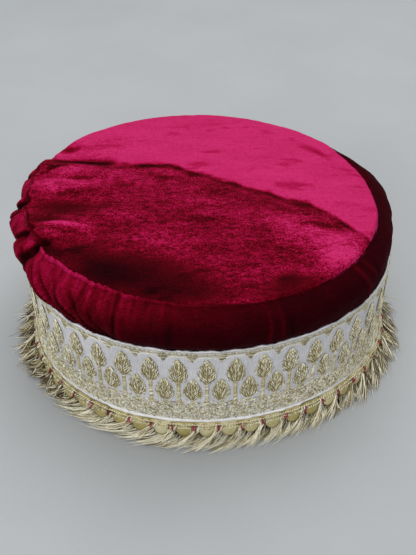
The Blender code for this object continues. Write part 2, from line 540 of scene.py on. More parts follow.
@dataclass(frozen=True)
class CapForm:
    """The cap's own rings and levels, which every sub-assembly is laid against."""

    base: Outline = Outline(HEAD_GIRTH / math.tau + VELVET, 0.0, 0.0306, 0.0, 0.0104, -0.0094)
    swell: Outline = Outline(0.0970, -0.0023, 0.0130)
    seam: Outline = Outline(0.0888, -0.0034, 0.0180, -0.0154)
    ribbon_bottom: float = 0.0135
    ribbon_top: float = 0.0607
    ribbon_face: float = 0.0013
    seam_z: float = 0.0856
    folds: tuple[Fold, ...] = (
        Fold(14.0, 22.0, 0.0030),
        Fold(140.0, 15.0, 0.0016),
        Fold(163.0, 12.0, 0.0040),
        Fold(175.5, 4.5, -0.0026),
        Fold(184.0, 7.0, 0.0016),
        Fold(192.5, 4.0, -0.0020),
        Fold(207.0, 4.5, -0.0028),
        Fold(216.5, 5.5, 0.0010),
        Fold(223.5, 4.0, -0.0014),
        Fold(232.5, 4.0, -0.0013),
        Fold(242.0, 4.5, -0.0012),
        Fold(248.5, 5.0, 0.0007),
        Fold(324.0, 7.0, 0.0008),
    )
    tucks: tuple[Tuck, ...] = (
        Tuck(156.0, 2.8, 0.0022, 0.0018),
        Tuck(166.0, 2.4, 0.0016, 0.0012),
        Tuck(183.5, 3.6, 0.0026, 0.0022),
        Tuck(200.5, 2.2, 0.0024, 0.0022),
        Tuck(209.3, 2.6, 0.0042, 0.0046),
    )
    rim: tuple[RimRow, ...] = (
        RimRow(0.0, 0.0, -0.0010, 0.5),
        RimRow(6.0, 0.0, -0.0022, 0.2),
        RimRow(20.0, 0.0, -0.0020, 0.2),
        RimRow(34.0, 0.0, 0.0004, 1.0),
        RimRow(150.0, 0.0, 0.0005, 1.0),
        RimRow(207.0, 0.0, 0.0005, 1.0),
        RimRow(212.5, 0.0020, -0.0016, 0.0),
        RimRow(232.0, 0.0016, -0.0014, 0.0),
        RimRow(250.0, 0.0010, -0.0010, 0.0),
        RimRow(266.0, 0.0006, -0.0007, 0.1),
        RimRow(284.0, 0.0001, 0.0001, 0.7),
        RimRow(300.0, 0.0, 0.0003, 1.0),
        RimRow(350.0, 0.0, 0.0004, 1.0),
        RimRow(360.0, 0.0, -0.0010, 0.5),
    )

    def rim_at(self, azimuth: np.ndarray) -> RimRow:
        """The rim at each azimuth."""
        return RimRow(azimuth, *look_up(self.rim, azimuth))

    def tuck_at(self, azimuth: np.ndarray) -> tuple[np.ndarray, np.ndarray]:
        """How far the tucks draw the seam inward and down at each azimuth.

        Args:
            azimuth: where it is asked, in degrees.

        Returns:
            How far it is drawn inward, and how far down.
        """
        inward, down = np.zeros_like(azimuth), np.zeros_like(azimuth)
        for tuck in self.tucks:
            pinch = bump(azimuth, tuck.azimuth, tuck.half_width) ** 1.5
            inward, down = inward + tuck.depth * pinch, down + tuck.drop * pinch
        return inward, down

    def on_wall(self, azimuth: np.ndarray, outward: Amount, z: Amount) -> np.ndarray:
        """Points on the straight part of the wall.

        Args:
            azimuth: where they are round it, in degrees.
            outward: how far they stand off it.
            z: their height.

        Returns:
            The points.
        """
        plan = self.base.at(azimuth, outward)
        return np.concatenate((plan, np.broadcast_to(z, plan.shape[:-1])[..., None]), -1)

    def walk(self, start: float, distance: np.ndarray) -> np.ndarray:
        """Azimuths reached along the wall.

        Args:
            start: the azimuth that the walk starts from.
            distance: how far it goes.

        Returns:
            The azimuths.
        """
        spare = 60
        azimuth = start + np.arange(-float(spare), 361.0 + spare)
        steps = np.linalg.norm(np.diff(self.base.at(azimuth), axis=0), axis=-1)
        walked = np.concatenate(([0.0], np.cumsum(steps)))
        return np.interp(distance, walked - walked[spare], azimuth)

    def girth(self) -> float:
        """The way round the wall."""
        ring = self.base.at(np.arange(361.0))
        return float(np.linalg.norm(np.diff(ring, axis=0), axis=-1).sum())

    def outward(self, azimuth: np.ndarray) -> np.ndarray:
        """The level direction away from the cap's middle at each azimuth."""
        a = np.radians(azimuth)
        return np.stack((np.cos(a), np.sin(a), np.zeros_like(a)), -1)


def smooth_table(rows: np.ndarray, count: int) -> np.ndarray:
    """Runs a smooth curve through a table's rows.

    Args:
        rows: the table.
        count: how many rows are wanted.

    Returns:
        The finer table, through the same rows.
    """
    place = np.linspace(0, len(rows) - 1, count)
    low = np.minimum(place.astype(int), len(rows) - 2)
    t = (place - low)[:, None]
    padded = np.concatenate((rows[:1], rows, rows[-1:]))
    a, b, c, d = (padded[low + i] for i in range(4))
    slope, turn = (c - a) / 2, (d - b) / 2
    bend = 3 * (c - b) - 2 * slope - turn
    return b + slope * t + bend * t**2 + (2 * (b - c) + slope + turn) * t**3


def soft_step(value: np.ndarray, low: float, high: float) -> np.ndarray:
    """A soft step from 0 at low to 1 at high."""
    t = np.clip((value - low) / (high - low), 0, 1)
    return t * t * (3 - 2 * t)


def middle_pull(ring: np.ndarray, middle: np.ndarray, distance: float) -> np.ndarray:
    """Draws a level ring of points towards a middle.

    Args:
        ring: the points.
        middle: where they are drawn to, in plan.
        distance: how far.

    Returns:
        The drawn ring.
    """
    out = ring[:, :2] - middle
    out = out * (1 - distance / np.linalg.norm(out, axis=-1, keepdims=True))
    return np.concatenate((out + middle, ring[:, 2:]), -1)


class Ripple:
    """A smooth, irregular wave over the plane, the same each run."""

    def __init__(self, seed: int, length: float, waves: int = 14) -> None:
        """Draws the waves.

        Args:
            seed: which ripple it is.
            length: the distance between crests, about.
            waves: how many plain waves make it up.
        """
        rng = np.random.default_rng(seed)
        turn = rng.uniform(0, math.tau, waves)
        reach = math.tau / (length * rng.uniform(0.6, 1.8, waves))
        self.steps = np.stack((np.cos(turn), np.sin(turn)), -1) * reach[:, None]
        self.starts = rng.uniform(0, math.tau, waves)

    def at(self, x: np.ndarray, y: np.ndarray) -> np.ndarray:
        """The wave's height, mostly within 1 either way."""
        phase = x[..., None] * self.steps[:, 0] + y[..., None] * self.steps[:, 1] + self.starts
        return np.sin(phase).sum(-1) / math.sqrt(len(self.starts))


# Mesh making


def new_mesh(
    name: str, points: np.ndarray, faces: np.ndarray | list, painted: dict[str, np.ndarray]
) -> bpy.types.Mesh:
    """Makes a smooth mesh.

    Args:
        name: its name.
        points: its points.
        faces: the corners of its faces.
        painted: values for each point, by name.

    Returns:
        The mesh.
    """
    mesh = bpy.data.meshes.new(name)
    corners = faces.tolist() if isinstance(faces, np.ndarray) else faces
    mesh.from_pydata(points.reshape(-1, 3).tolist(), [], corners)
    for title, values in painted.items():
        layer = mesh.attributes.new(title, "FLOAT", "POINT")
        layer.data.foreach_set("value", np.asarray(values, np.float32).ravel())
    mesh.shade_smooth()
    mesh.update()
    return mesh


def ring_faces(rows: int, columns: int, closed: bool) -> np.ndarray:
    """The quads of a grid of points that runs round the cap.

    Args:
        rows: how many rings it has.
        columns: how many points a ring has.
        closed: whether the last ring joins the first.

    Returns:
        The corners of the quads, their faces outward where the rings rise.
    """
    ring = np.arange(columns)
    after = np.roll(ring, -1)
    found = []
    for row in range(rows if closed else rows - 1):
        low, high = row * columns, (row + 1) % rows * columns
        found.append(np.stack((low + ring, low + after, high + after, high + ring), -1))
    return np.concatenate(found)


def tubes(
    paths: np.ndarray, radius: np.ndarray, up: np.ndarray, tone: np.ndarray, sides: int, flat: float
) -> tuple[np.ndarray, list, np.ndarray]:
    """Many short tubes of thread as the arrays of one mesh.

    Args:
        paths: the points along each thread.
        radius: its radius at each point.
        up: the direction its flat side faces, for each point.
        tone: each thread's tone, or one for each of its points.
        sides: how many sides a thread has.
        flat: its height as a share of its width.

    Returns:
        The points, the faces and each point's tone.
    """
    strands, stations = paths.shape[:2]
    nothing = 1e-12
    along = np.gradient(paths, axis=1)
    along /= np.linalg.norm(along, axis=-1, keepdims=True) + nothing
    across = np.cross(along, up)
    across /= np.linalg.norm(across, axis=-1, keepdims=True) + nothing
    lift = np.cross(across, along)
    turn = np.arange(sides) * math.tau / sides + (math.pi / 2 if sides == 3 else math.pi / sides)
    ring = across[:, :, None] * np.cos(turn)[:, None] + lift[:, :, None] * (flat * np.sin(turn))[:, None]
    points = paths[:, :, None] + ring * radius[:, :, None, None]
    start = np.arange(strands)[:, None, None] * stations * sides
    step = np.arange(stations - 1)[None, :, None] * sides
    side = np.arange(sides)[None, None, :]
    after = (side + 1) % sides
    low, high = start + step, start + step + sides
    quads = np.stack((low + side, low + after, high + after, high + side), -1).reshape(-1, 4)
    first = (start[:, 0] + np.arange(sides)[::-1]).tolist()
    last = (start[:, 0] + (stations - 1) * sides + np.arange(sides)).tolist()
    tones = np.broadcast_to(tone.reshape(strands, -1), (strands, stations))
    return points.reshape(-1, 3), quads.tolist() + first + last, np.repeat(tones, sides)


class ThreadWork:
    """Threads gathered into one piece."""

    def __init__(self, name: str) -> None:
        """Starts an empty piece.

        Args:
            name: the piece's name.
        """
        self.name = name
        self.points: list[np.ndarray] = []
        self.faces: list = []
        self.tones: list[np.ndarray] = []
        self.count = 0

    def add(
        self,
        paths: np.ndarray,
        radius: Amount,
        up: np.ndarray,
        tone: np.ndarray,
        sides: int = 3,
        flat: float = 1.0,
    ) -> None:
        """Adds threads of one kind.

        Args:
            paths: the points along each.
            radius: the radius, one for all or one for each point.
            up: the direction the flat side faces.
            tone: each thread's tone.
            sides: how many sides a thread has.
            flat: its height as a share of its width.
        """
        radii = np.broadcast_to(radius, paths.shape[:2])
        ups = np.broadcast_to(up, paths.shape)
        points, faces, tones = tubes(paths, radii, ups, tone, sides, flat)
        self.faces += [[corner + self.count for corner in face] for face in faces]
        self.points.append(points)
        self.tones.append(tones)
        self.count += len(points)

    def mesh(self) -> bpy.types.Mesh:
        """The piece's mesh."""
        tones = np.concatenate(self.tones)
        return new_mesh(self.name, np.concatenate(self.points), self.faces, {"tone": tones})


def dress(
    mesh: bpy.types.Mesh, finishes: list[bpy.types.Material], nodes: tuple[str, ...] = ()
) -> None:
    """Makes a piece of the cap from a mesh.

    Args:
        mesh: its mesh.
        finishes: its materials.
        nodes: the solids that it stands for.
    """
    piece = bpy.data.objects.new(mesh.name, mesh)
    bpy.context.scene.collection.objects.link(piece)
    for finish in finishes:
        mesh.materials.append(finish)
    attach(piece, "root")
    if nodes:
        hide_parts(*nodes)
    log.info("%s: %d faces", piece.name, len(mesh.polygons))


# The crown


class Stroke(NamedTuple):
    """A brushed, folded or rubbed place on the crown, in millimetres and degrees: the painted sheen or
    shade it adds, and how far it is raised or sunk.
    """

    x: float
    y: float
    length: float
    width: float
    turn: float
    nap: float
    relief: float = 0.0

    def cover(self, x: np.ndarray, y: np.ndarray) -> np.ndarray:
        """How fully the stroke covers each place.

        Args:
            x: the places' X, in metres.
            y: their Y.

        Returns:
            1 at its middle and 0 outside its oval.
        """
        a = math.radians(self.turn)
        dx, dy = x - self.x * MM, y - self.y * MM
        along = (dx * math.cos(a) + dy * math.sin(a)) / (self.length * MM)
        across = (dy * math.cos(a) - dx * math.sin(a)) / (self.width * MM)
        return soft_step(1 - np.hypot(along, across), 0.0, 1.0)


@dataclass
class Crown:
    """The flat round of velvet, brushed one way behind a line across it and crushed before it: painted
    sheen behind the line and darker pile before it.
    """

    form: CapForm
    finish: VelvetFinish = VelvetFinish("crown_velvet", scuff=0.26)
    columns: int = 440
    inner_rings: int = 46
    edge_rings: int = 30
    under_step: int = 8
    thickness: float = 0.0020
    rise: float = 0.0024
    under_inset: float = 0.0016
    # How much painted sheen the pile is given before the brushed line and how much more behind it,
    # and the half width in metres of the change
    light_before_line: float = 0.52
    light_behind_line: float = 0.43
    line_softness: float = 0.0018
    # The painted shade of a dent along the line: its place before it, its half width and its depth
    dent_shade_place: float = 0.0022
    dent_shade_half_width: float = 0.0020
    dent_shade_depth: float = 0.15
    # The painted shade in a ring beside the seam, as a share of the way out, from one azimuth to another
    seam_share: float = 0.977
    seam_half_width: float = 0.007
    seam_from: float = 165.0
    seam_to: float = 208.5
    creases: tuple[Fold, ...] = (
        Fold(150.0, 8.0, -0.0016),
        Fold(163.0, 9.0, 0.0012),
        Fold(176.0, 6.0, 0.0013),
        Fold(188.0, 8.0, -0.0012),
        Fold(203.0, 7.0, 0.0012),
        Fold(216.0, 9.0, -0.0014),
    )
    brush_line: tuple[tuple[float, float], ...] = (
        (-95, 33),
        (-80, 33),
        (-56, 32),
        (-41, 28),
        (-20, 27),
        (-9, 21),
        (12, 10.5),
        (22, 3.5),
        (32, 0),
        (43, -7),
        (52, -9.5),
        (61, -19),
        (70, -30),
        (95, -60),
    )
    # Each stroke adds painted sheen where its value is above 0 and painted shade where it is below, some
    # over the folds they raise or sink
    strokes: tuple[Stroke, ...] = (
        Stroke(-30, -66, 54, 22, -16, -0.34),
        Stroke(-46, -66, 24, 12, -24, -0.18),
        Stroke(-10, -80, 50, 10, 0, -0.14),
        Stroke(-58, -48, 26, 14, -38, -0.16),
        Stroke(-42, -20, 20, 10, -6, 0.12),
        Stroke(-12, 0, 40, 12, -26, 0.06),
        Stroke(-26, -40, 24, 10, -8, 0.05),
        Stroke(-44, 18, 26, 10, -6, 0.24),
        Stroke(-20, 19, 14, 6, -20, 0.14),
        Stroke(56, -42, 36, 20, -32, 0.32),
        Stroke(60, -56, 18, 12, 30, 0.30),
        Stroke(66, -36, 18, 12, -40, 0.12),
        Stroke(38, -74, 26, 9, 18, -0.26),
        Stroke(36, -69, 9, 5, 20, -0.20),
        Stroke(34, -24, 14, 8, -25, 0.16),
        Stroke(58, -30, 15, 5, -22, -0.30),
        Stroke(47, -13, 9, 3, -10, -0.16),
        Stroke(20, -50, 26, 20, 0, -0.06),
        Stroke(-76, 10, 26, 12, 2, 0.34, 0.5),
        Stroke(-62, 9, 16, 8, 2, 0.18),
        Stroke(-72, 3, 26, 3.4, 3, 0.20, 0.3),
        Stroke(-72, 21, 24, 7, 4, 0.26, 0.3),
        Stroke(-66, 13, 11, 3.4, 2, -0.40, -0.4),
        Stroke(-72, -12, 28, 11, -4, -0.26, -0.8),
        Stroke(-80, -24, 14, 8, -10, -0.24, -0.3),
        Stroke(-70, -29, 21, 3.4, -9, 0.46, 1.0),
        Stroke(-74, -35, 12, 2.8, -14, 0.26, 0.4),
        Stroke(-74, -45, 16, 7, -34, -0.26, -0.8),
        Stroke(-68, 32.5, 20, 5.0, 3, -0.85, -1.6),
        Stroke(-55, 30, 10, 4.0, 10, -0.36, -0.4),
        Stroke(-80, 25, 8, 2.4, 10, -0.34, -0.4),
        Stroke(-77, 46, 10, 4.4, 16, -0.50, -0.5),
        Stroke(-84, 21, 8, 2.2, 40, -0.28, -0.4),
        Stroke(-66, 38, 20, 3.0, 5, -0.12, 0.3),
        Stroke(-60, 47, 26, 5.0, 4, -0.16, 0.2),
        Stroke(-50, 56, 12, 2.4, 8, -0.12),
        Stroke(61, 42, 15, 3.4, -50, -0.30, -0.3),
        Stroke(55, 45, 9, 3.0, -48, -0.16),
        Stroke(5, 73, 9, 3, 0, -0.08),
        Stroke(24, 22, 6, 2.0, 50, -0.10),
        Stroke(32, 24, 5, 1.6, -40, -0.08),
        Stroke(52, 6, 12, 1.8, -14, -0.05),
        Stroke(-6, 48, 16, 1.6, 4, -0.05),
        Stroke(30, 44, 20, 2.0, -8, -0.04),
    )

    def height(self, share: np.ndarray, azimuth: np.ndarray, x: np.ndarray, y: np.ndarray) -> np.ndarray:
        """The crown's height.

        Args:
            share: how far out each place is, 0 to 1.
            azimuth: its azimuth.
            x: its X.
            y: its Y.

        Returns:
            Its Z.
        """
        cover, down = self.form.rim_at(azimuth).cover, self.form.tuck_at(azimuth)[1]
        z = self.form.seam_z + self.rise - (0.0018 - 0.0009 * cover) * share**3
        z = z - (1 - cover) * 0.0014 * share**24 - cover * 0.0024 * soft_step(share, 0.972, 1.0) ** 2
        inward = soft_step(share, 0.25, 0.88) * (1 - 0.6 * soft_step(share, 0.94, 1.0))
        z = z + inward * fold_height(self.creases, azimuth) - down * soft_step(share, 0.95, 1.0)
        for stroke in self.strokes:
            z = z + stroke.relief * MM * stroke.cover(x, y) * (1 - soft_step(share, 0.9, 1.0))
        return z + 0.00016 * Ripple(3, 0.024).at(x, y) + 0.00007 * Ripple(4, 0.007).at(x, y)

    def nap(self, share: np.ndarray, x: np.ndarray, y: np.ndarray) -> tuple[np.ndarray, np.ndarray]:
        """How the pile lies, as painted sheen and shade.

        Args:
            share: how far out each place is.
            x: the places' X.
            y: their Y.

        Returns:
            The painted light: how much sheen the pile is painted with, and how crushed it is.
        """
        line = np.array(self.brush_line) * MM
        wander = 0.0006 * Ripple(5, 0.014).at(x, y) + 0.00030 * Ripple(6, 0.0035).at(x, y)
        past = y - np.interp(x, line[:, 0], line[:, 1]) + wander
        back = soft_step(past, -self.line_softness, self.line_softness)
        nap = self.light_before_line + self.light_behind_line * back
        # Painted shade in a dark line just before the brushed line; the crown's height has no dent there
        dent_shade = np.exp(-(((past + self.dent_shade_place) / self.dent_shade_half_width) ** 2))
        dent_shade = dent_shade * soft_step(x, -0.048, -0.030)
        nap = nap - (self.dent_shade_depth + 0.09 * Ripple(7, 0.012).at(x, y)) * dent_shade
        for stroke in self.strokes:
            nap = nap + stroke.nap * stroke.cover(x, y)
        azimuth = np.degrees(np.arctan2(y, x - self.form.seam.centre_x)) % 360
        # Painted shade in a ring along the seam on the left
        seam = np.exp(-(((share - self.seam_share) / self.seam_half_width) ** 2))
        seam = seam * soft_step(azimuth, self.seam_from - 7, self.seam_from + 7)
        seam = seam * soft_step(-azimuth, -self.seam_to - 3.5, -self.seam_to + 3.5)
        nap = nap - (0.22 + 0.10 * Ripple(11, 0.005).at(x, y)) * seam
        # Painted shade where the tucks pinch the seam
        pinch = self.form.tuck_at(azimuth)[0]
        nap = nap - np.clip(pinch * 130, 0, 0.38) * soft_step(share, 0.955, 1.0)
        crush = 0.20 + 0.80 * (1 - back) + 0.30 * back * soft_step(x, -0.035, -0.065)
        return nap, crush * (0.16 + 0.84 * soft_step(nap, 0.22, 0.60))

    def build(self) -> None:
        """Builds the crown, upper and under side, as one closed round of cloth."""
        azimuth = np.arange(self.columns) * 360.0 / self.columns
        inner = np.linspace(0.02, 0.86, self.inner_rings)
        shares = np.concatenate((inner, np.linspace(0.87, 1.0, self.edge_rings)))
        folds = 0.5 * fold_height(self.form.folds, azimuth)
        edge = self.form.seam.at(azimuth, folds + self.form.rim_at(azimuth).reach)
        edge = edge - self.form.outward(azimuth)[:, :2] * self.form.tuck_at(azimuth)[0][:, None]
        middle = np.array((self.form.seam.centre_x, 0.0))
        plan = middle + (edge - middle)[None] * shares[:, None, None]
        x, y = plan[..., 0], plan[..., 1]
        z = self.height(shares[:, None], np.broadcast_to(azimuth, x.shape), x, y)
        top = np.stack((x, y, z), -1)[::-1]
        under = np.stack((x, y, z - self.thickness), -1)[:: self.under_step]
        under[-1] = middle_pull(under[-1], middle, self.under_inset)
        rings = np.concatenate((under, top))
        steps = np.concatenate((shares[:: self.under_step], shares[::-1]))[:, None]
        faces = ring_faces(len(rings), self.columns, closed=False).tolist()
        last = (len(rings) - 1) * self.columns
        faces.append(list(range(last, last + self.columns)))
        faces.append(list(range(self.columns))[::-1])
        nap, crush = self.nap(steps, rings[..., 0], rings[..., 1])
        mesh = new_mesh("crown_velvet", rings, faces, {"nap": nap, "crush": crush})
        dress(mesh, [self.finish.material()], ("crown_top",))


# The side


class SideRow(NamedTuple):
    """One ring of the side: its height, its share of each outline, and of the gathers."""

    height: float
    base: float
    swell: float
    seam: float
    gather: float


class Pleat(NamedTuple):
    """A fine crease of the side that leans as it falls from the welt to the ribbon: its azimuth at
    both, its half width, its height, and the share of it that is left at its top and its foot."""

    top: float
    bottom: float
    half_width: float
    height: float
    head: float = 0.25
    tail: float = 1.0


class ShadeRow(NamedTuple):
    """The painted sheen and shade of the side's pile at an azimuth, at the welt, midway and at the ribbon.
    """

    azimuth: float
    welt: float
    middle: float
    ribbon: float


@dataclass
class Side:
    """The velvet wall, swelling above the ribbon and gathered along the left."""

    form: CapForm
    finish: VelvetFinish = VelvetFinish("side_velvet", speckle=0.55)
    backing: BackingFinish = BackingFinish()
    columns: int = 600
    rows: int = 28
    welt_rows: int = 5
    inner_step: int = 3
    foot_levels: tuple[float, ...] = (0.0, 0.02, 0.04, 0.058)
    # The painted light of the hidden faces and of the welt's back
    hidden_painted_light: float = 0.3
    welt_back_painted_light: float = 0.24
    # How much of the welt's painted highlight each ring up to it takes
    welt_shares: tuple[float, ...] = (0.2, 0.5, 0.85, 0.85, 0.85)
    table: tuple[SideRow, ...] = (
        SideRow(0.0610, 1.0, 0.0, 0.0, 0.0),
        SideRow(0.0636, 0.62, 0.38, 0.0, 0.75),
        SideRow(0.0682, 0.18, 0.82, 0.0, 1.0),
        SideRow(0.0747, 0.0, 1.0, 0.0, 1.0),
        SideRow(0.0792, 0.0, 0.80, 0.20, 0.9),
        SideRow(0.0830, 0.0, 0.42, 0.58, 0.7),
        SideRow(0.0852, 0.0, 0.07, 0.93, 0.5),
        SideRow(0.0862, 0.0, 0.0, 1.0, 0.5),
    )
    pleats: tuple[Pleat, ...] = (
        Pleat(184, 174, 2.4, -0.0026, 1.0, 0.1),
        Pleat(188, 179, 1.3, -0.0012, 1.0, 0.2),
        Pleat(200.5, 187, 1.8, -0.0024, 1.0, 0.0),
        Pleat(209.5, 199, 2.6, -0.0034, 1.0, 0.1),
        Pleat(156, 152, 2.4, -0.0012, 1.0, 0.5),
        Pleat(166, 161, 2.0, -0.0010, 1.0, 0.4),
        Pleat(147, 149, 1.8, -0.0006, 0.6, 1.0),
        Pleat(196, 197, 1.5, -0.0007),
        Pleat(202, 210, 1.4, -0.0013, 0.0),
        Pleat(206, 217, 1.2, -0.0016, 0.0),
        Pleat(211, 223, 1.1, -0.0019, 0.1),
        Pleat(213, 226, 0.9, 0.0010, 0.1),
        Pleat(215, 230, 1.2, -0.0021, 0.1),
        Pleat(221, 235, 1.0, -0.0017, 0.1),
        Pleat(224, 238, 1.0, 0.0009, 0.0),
        Pleat(228, 241, 1.1, -0.0017, 0.0),
        Pleat(236, 243, 0.9, -0.0008, 0.0),
        Pleat(246.3, 245.6, 0.9, -0.0012, 1.0, 0.6),
        Pleat(248.0, 247.6, 0.9, 0.0006, 0.8, 0.5),
        Pleat(262, 261, 1.6, -0.0004),
        Pleat(289, 288, 1.0, 0.0006),
        Pleat(292, 292, 0.8, 0.0005),
        Pleat(294, 295, 1.6, -0.0005),
        Pleat(321, 325, 1.4, 0.0007, 0.9),
        Pleat(325, 330, 1.0, 0.0005, 0.6),
        Pleat(328, 331, 1.4, -0.0005),
    )
    shades: tuple[ShadeRow, ...] = (
        ShadeRow(0, 0.18, 0.16, 0.12),
        ShadeRow(60, 0.22, 0.20, 0.14),
        ShadeRow(120, 0.40, 0.34, 0.22),
        ShadeRow(150, 0.66, 0.50, 0.30),
        ShadeRow(175, 0.64, 0.56, 0.36),
        ShadeRow(190, 0.60, 0.56, 0.40),
        ShadeRow(205, 0.62, 0.54, 0.38),
        ShadeRow(222, 0.60, 0.48, 0.30),
        ShadeRow(240, 0.50, 0.34, 0.17),
        ShadeRow(255, 0.36, 0.22, 0.10),
        ShadeRow(275, 0.26, 0.17, 0.08),
        ShadeRow(300, 0.18, 0.15, 0.10),
        ShadeRow(330, 0.17, 0.17, 0.11),
        ShadeRow(360, 0.18, 0.16, 0.12),
    )

    def pleat_height(self, azimuth: np.ndarray, z: np.ndarray) -> np.ndarray:
        """How far the fine creases move the cloth at each place.

        Args:
            azimuth: the places' azimuths.
            z: their height.

        Returns:
            How far each is moved outward.
        """
        fall = np.clip((self.form.seam_z - z) / (self.form.seam_z - self.form.ribbon_top), 0, 1)
        total = np.zeros_like(azimuth + z)
        for pleat in self.pleats:
            middle = pleat.top + (pleat.bottom - pleat.top) * fall
            wave = bump(azimuth, middle, pleat.half_width) ** 2
            share = pleat.head + (1 - pleat.head) * soft_step(fall, 0.05, 0.45)
            share = share * (pleat.tail + (1 - pleat.tail) * soft_step(-fall, -0.85, -0.35))
            total = total + pleat.height * wave * share
        return total * soft_step(z, 0.0606, 0.0640)

    def outer(self, azimuth: np.ndarray) -> np.ndarray:
        """The outer face, from the ribbon's top up to the welt.

        Args:
            azimuth: where its columns are.

        Returns:
            The rings of points.
        """
        rings = []
        cover = self.form.rim_at(azimuth).cover
        inward, down = self.form.tuck_at(azimuth)
        for height, base, swell, seam, gather in smooth_table(np.array(self.table), self.rows):
            fold = gather * fold_height(self.form.folds, azimuth)
            z = np.full_like(azimuth, height)
            fold = fold + self.pleat_height(azimuth, z) - inward * soft_step(z, 0.0800, 0.0856)
            z = z - (0.0009 * cover + down) * soft_step(z, 0.0790, 0.0856)
            fold = fold + 0.00022 * Ripple(8, 0.012).at(azimuth * DEGREE, z) * soft_step(z, 0.061, 0.066)
            plan = base * self.form.base.at(azimuth, fold) + swell * self.form.swell.at(azimuth, fold)
            plan = plan + seam * self.form.seam.at(azimuth, fold)
            rings.append(np.concatenate((plan, z[:, None]), -1))
        return np.array(rings)

    def shade(self, azimuth: np.ndarray, rings: np.ndarray) -> np.ndarray:
        """The painted sheen and shade of the pile at each point of the outer face, with painted shade in
        the creases' valleys and the tucks and a painted highlight on their ridges.

        Args:
            azimuth: where the face's columns are.
            rings: its rings of points.

        Returns:
            The painted light at each of its points.
        """
        welt, middle, ribbon = look_up(self.shades, azimuth)
        z = rings[..., 2]
        up = soft_step(z, 0.0745, 0.0858)
        low = soft_step(z, 0.0610, 0.0735)
        nap = ribbon + (middle - ribbon) * low + (welt - middle) * up
        crease = self.pleat_height(np.broadcast_to(azimuth, z.shape), z)
        inward = self.form.tuck_at(azimuth)[0] * soft_step(z, 0.0770, 0.0840)
        streaks = 0.07 * Ripple(10, 0.0028).at(azimuth * DEGREE, z * 0.22) * soft_step(nap, 0.2, 0.45)
        # Painted highlight on the creases' ridges, painted shade in their valleys and where the tucks draw
        # the wall in
        return nap + streaks + np.clip(crease * 210, -0.40, 0.28) - np.clip(inward * 150, 0, 0.5)

    def build(self) -> None:
        """Builds the wall as one closed ring of cloth with its rolled welt."""
        azimuth = np.arange(self.columns) * 360.0 / self.columns
        outer = self.outer(azimuth)
        rise = np.gradient(outer, axis=0)
        turn = np.roll(outer, -1, 1) - np.roll(outer, 1, 1)
        normal = np.cross(turn, rise)
        normal /= np.linalg.norm(normal, axis=-1, keepdims=True)
        inner = (outer - normal * VELVET)[::-1]
        t = np.linspace(0, 1, self.welt_rows + 2)[1:-1, None, None]
        around = azimuth * DEGREE
        jagged = 1 + 0.34 * Ripple(9, 0.0024).at(around, around * 0)
        raised = self.form.rim_at(azimuth).welt
        proud = (0.00025 + raised * jagged)[None, :, None]
        welt = outer[-1] * (1 - t) + inner[0] * t
        welt[..., 2:] += proud * np.sin(math.pi * t)
        foot_out = [self.form.on_wall(azimuth, 0.0, z) for z in self.foot_levels]
        foot_in = [self.form.on_wall(azimuth, -VELVET, z) for z in self.foot_levels[::-1]]
        rings = np.concatenate((foot_out, outer, welt, inner[:: self.inner_step], foot_in))
        faces = ring_faces(len(rings), self.columns, closed=True)
        nap = np.full(rings.shape[:2], self.hidden_painted_light)
        first = len(foot_out)
        last = first + self.rows
        nap[first:last] = self.shade(azimuth, outer)
        # A painted highlight along the welt's jagged rolled edge
        grains = 0.5 + 0.5 * Ripple(12, 0.0016).at(around, around * 0)
        welt_highlight = raised * 170 * (0.2 + 0.4 * jagged + 0.4 * grains)
        level = nap[last - 4].copy()
        for row, share in enumerate(self.welt_shares, last - 3):
            nap[row] = level + welt_highlight * share
        nap[last + 2 : last + self.welt_rows] = self.welt_back_painted_light
        crush = 0.10 + 0.40 * soft_step(nap, 0.15, 0.5)
        mesh = new_mesh("side_velvet", rings, faces, {"nap": nap, "crush": crush})
        dress(mesh, [self.finish.material(), self.backing.material()], ("side_wall",))
        marks = np.zeros(len(mesh.polygons), np.int32)
        marks[(last + self.welt_rows) * self.columns :] = 1
        mesh.polygons.foreach_set("material_index", marks)


# The ribbon and its work


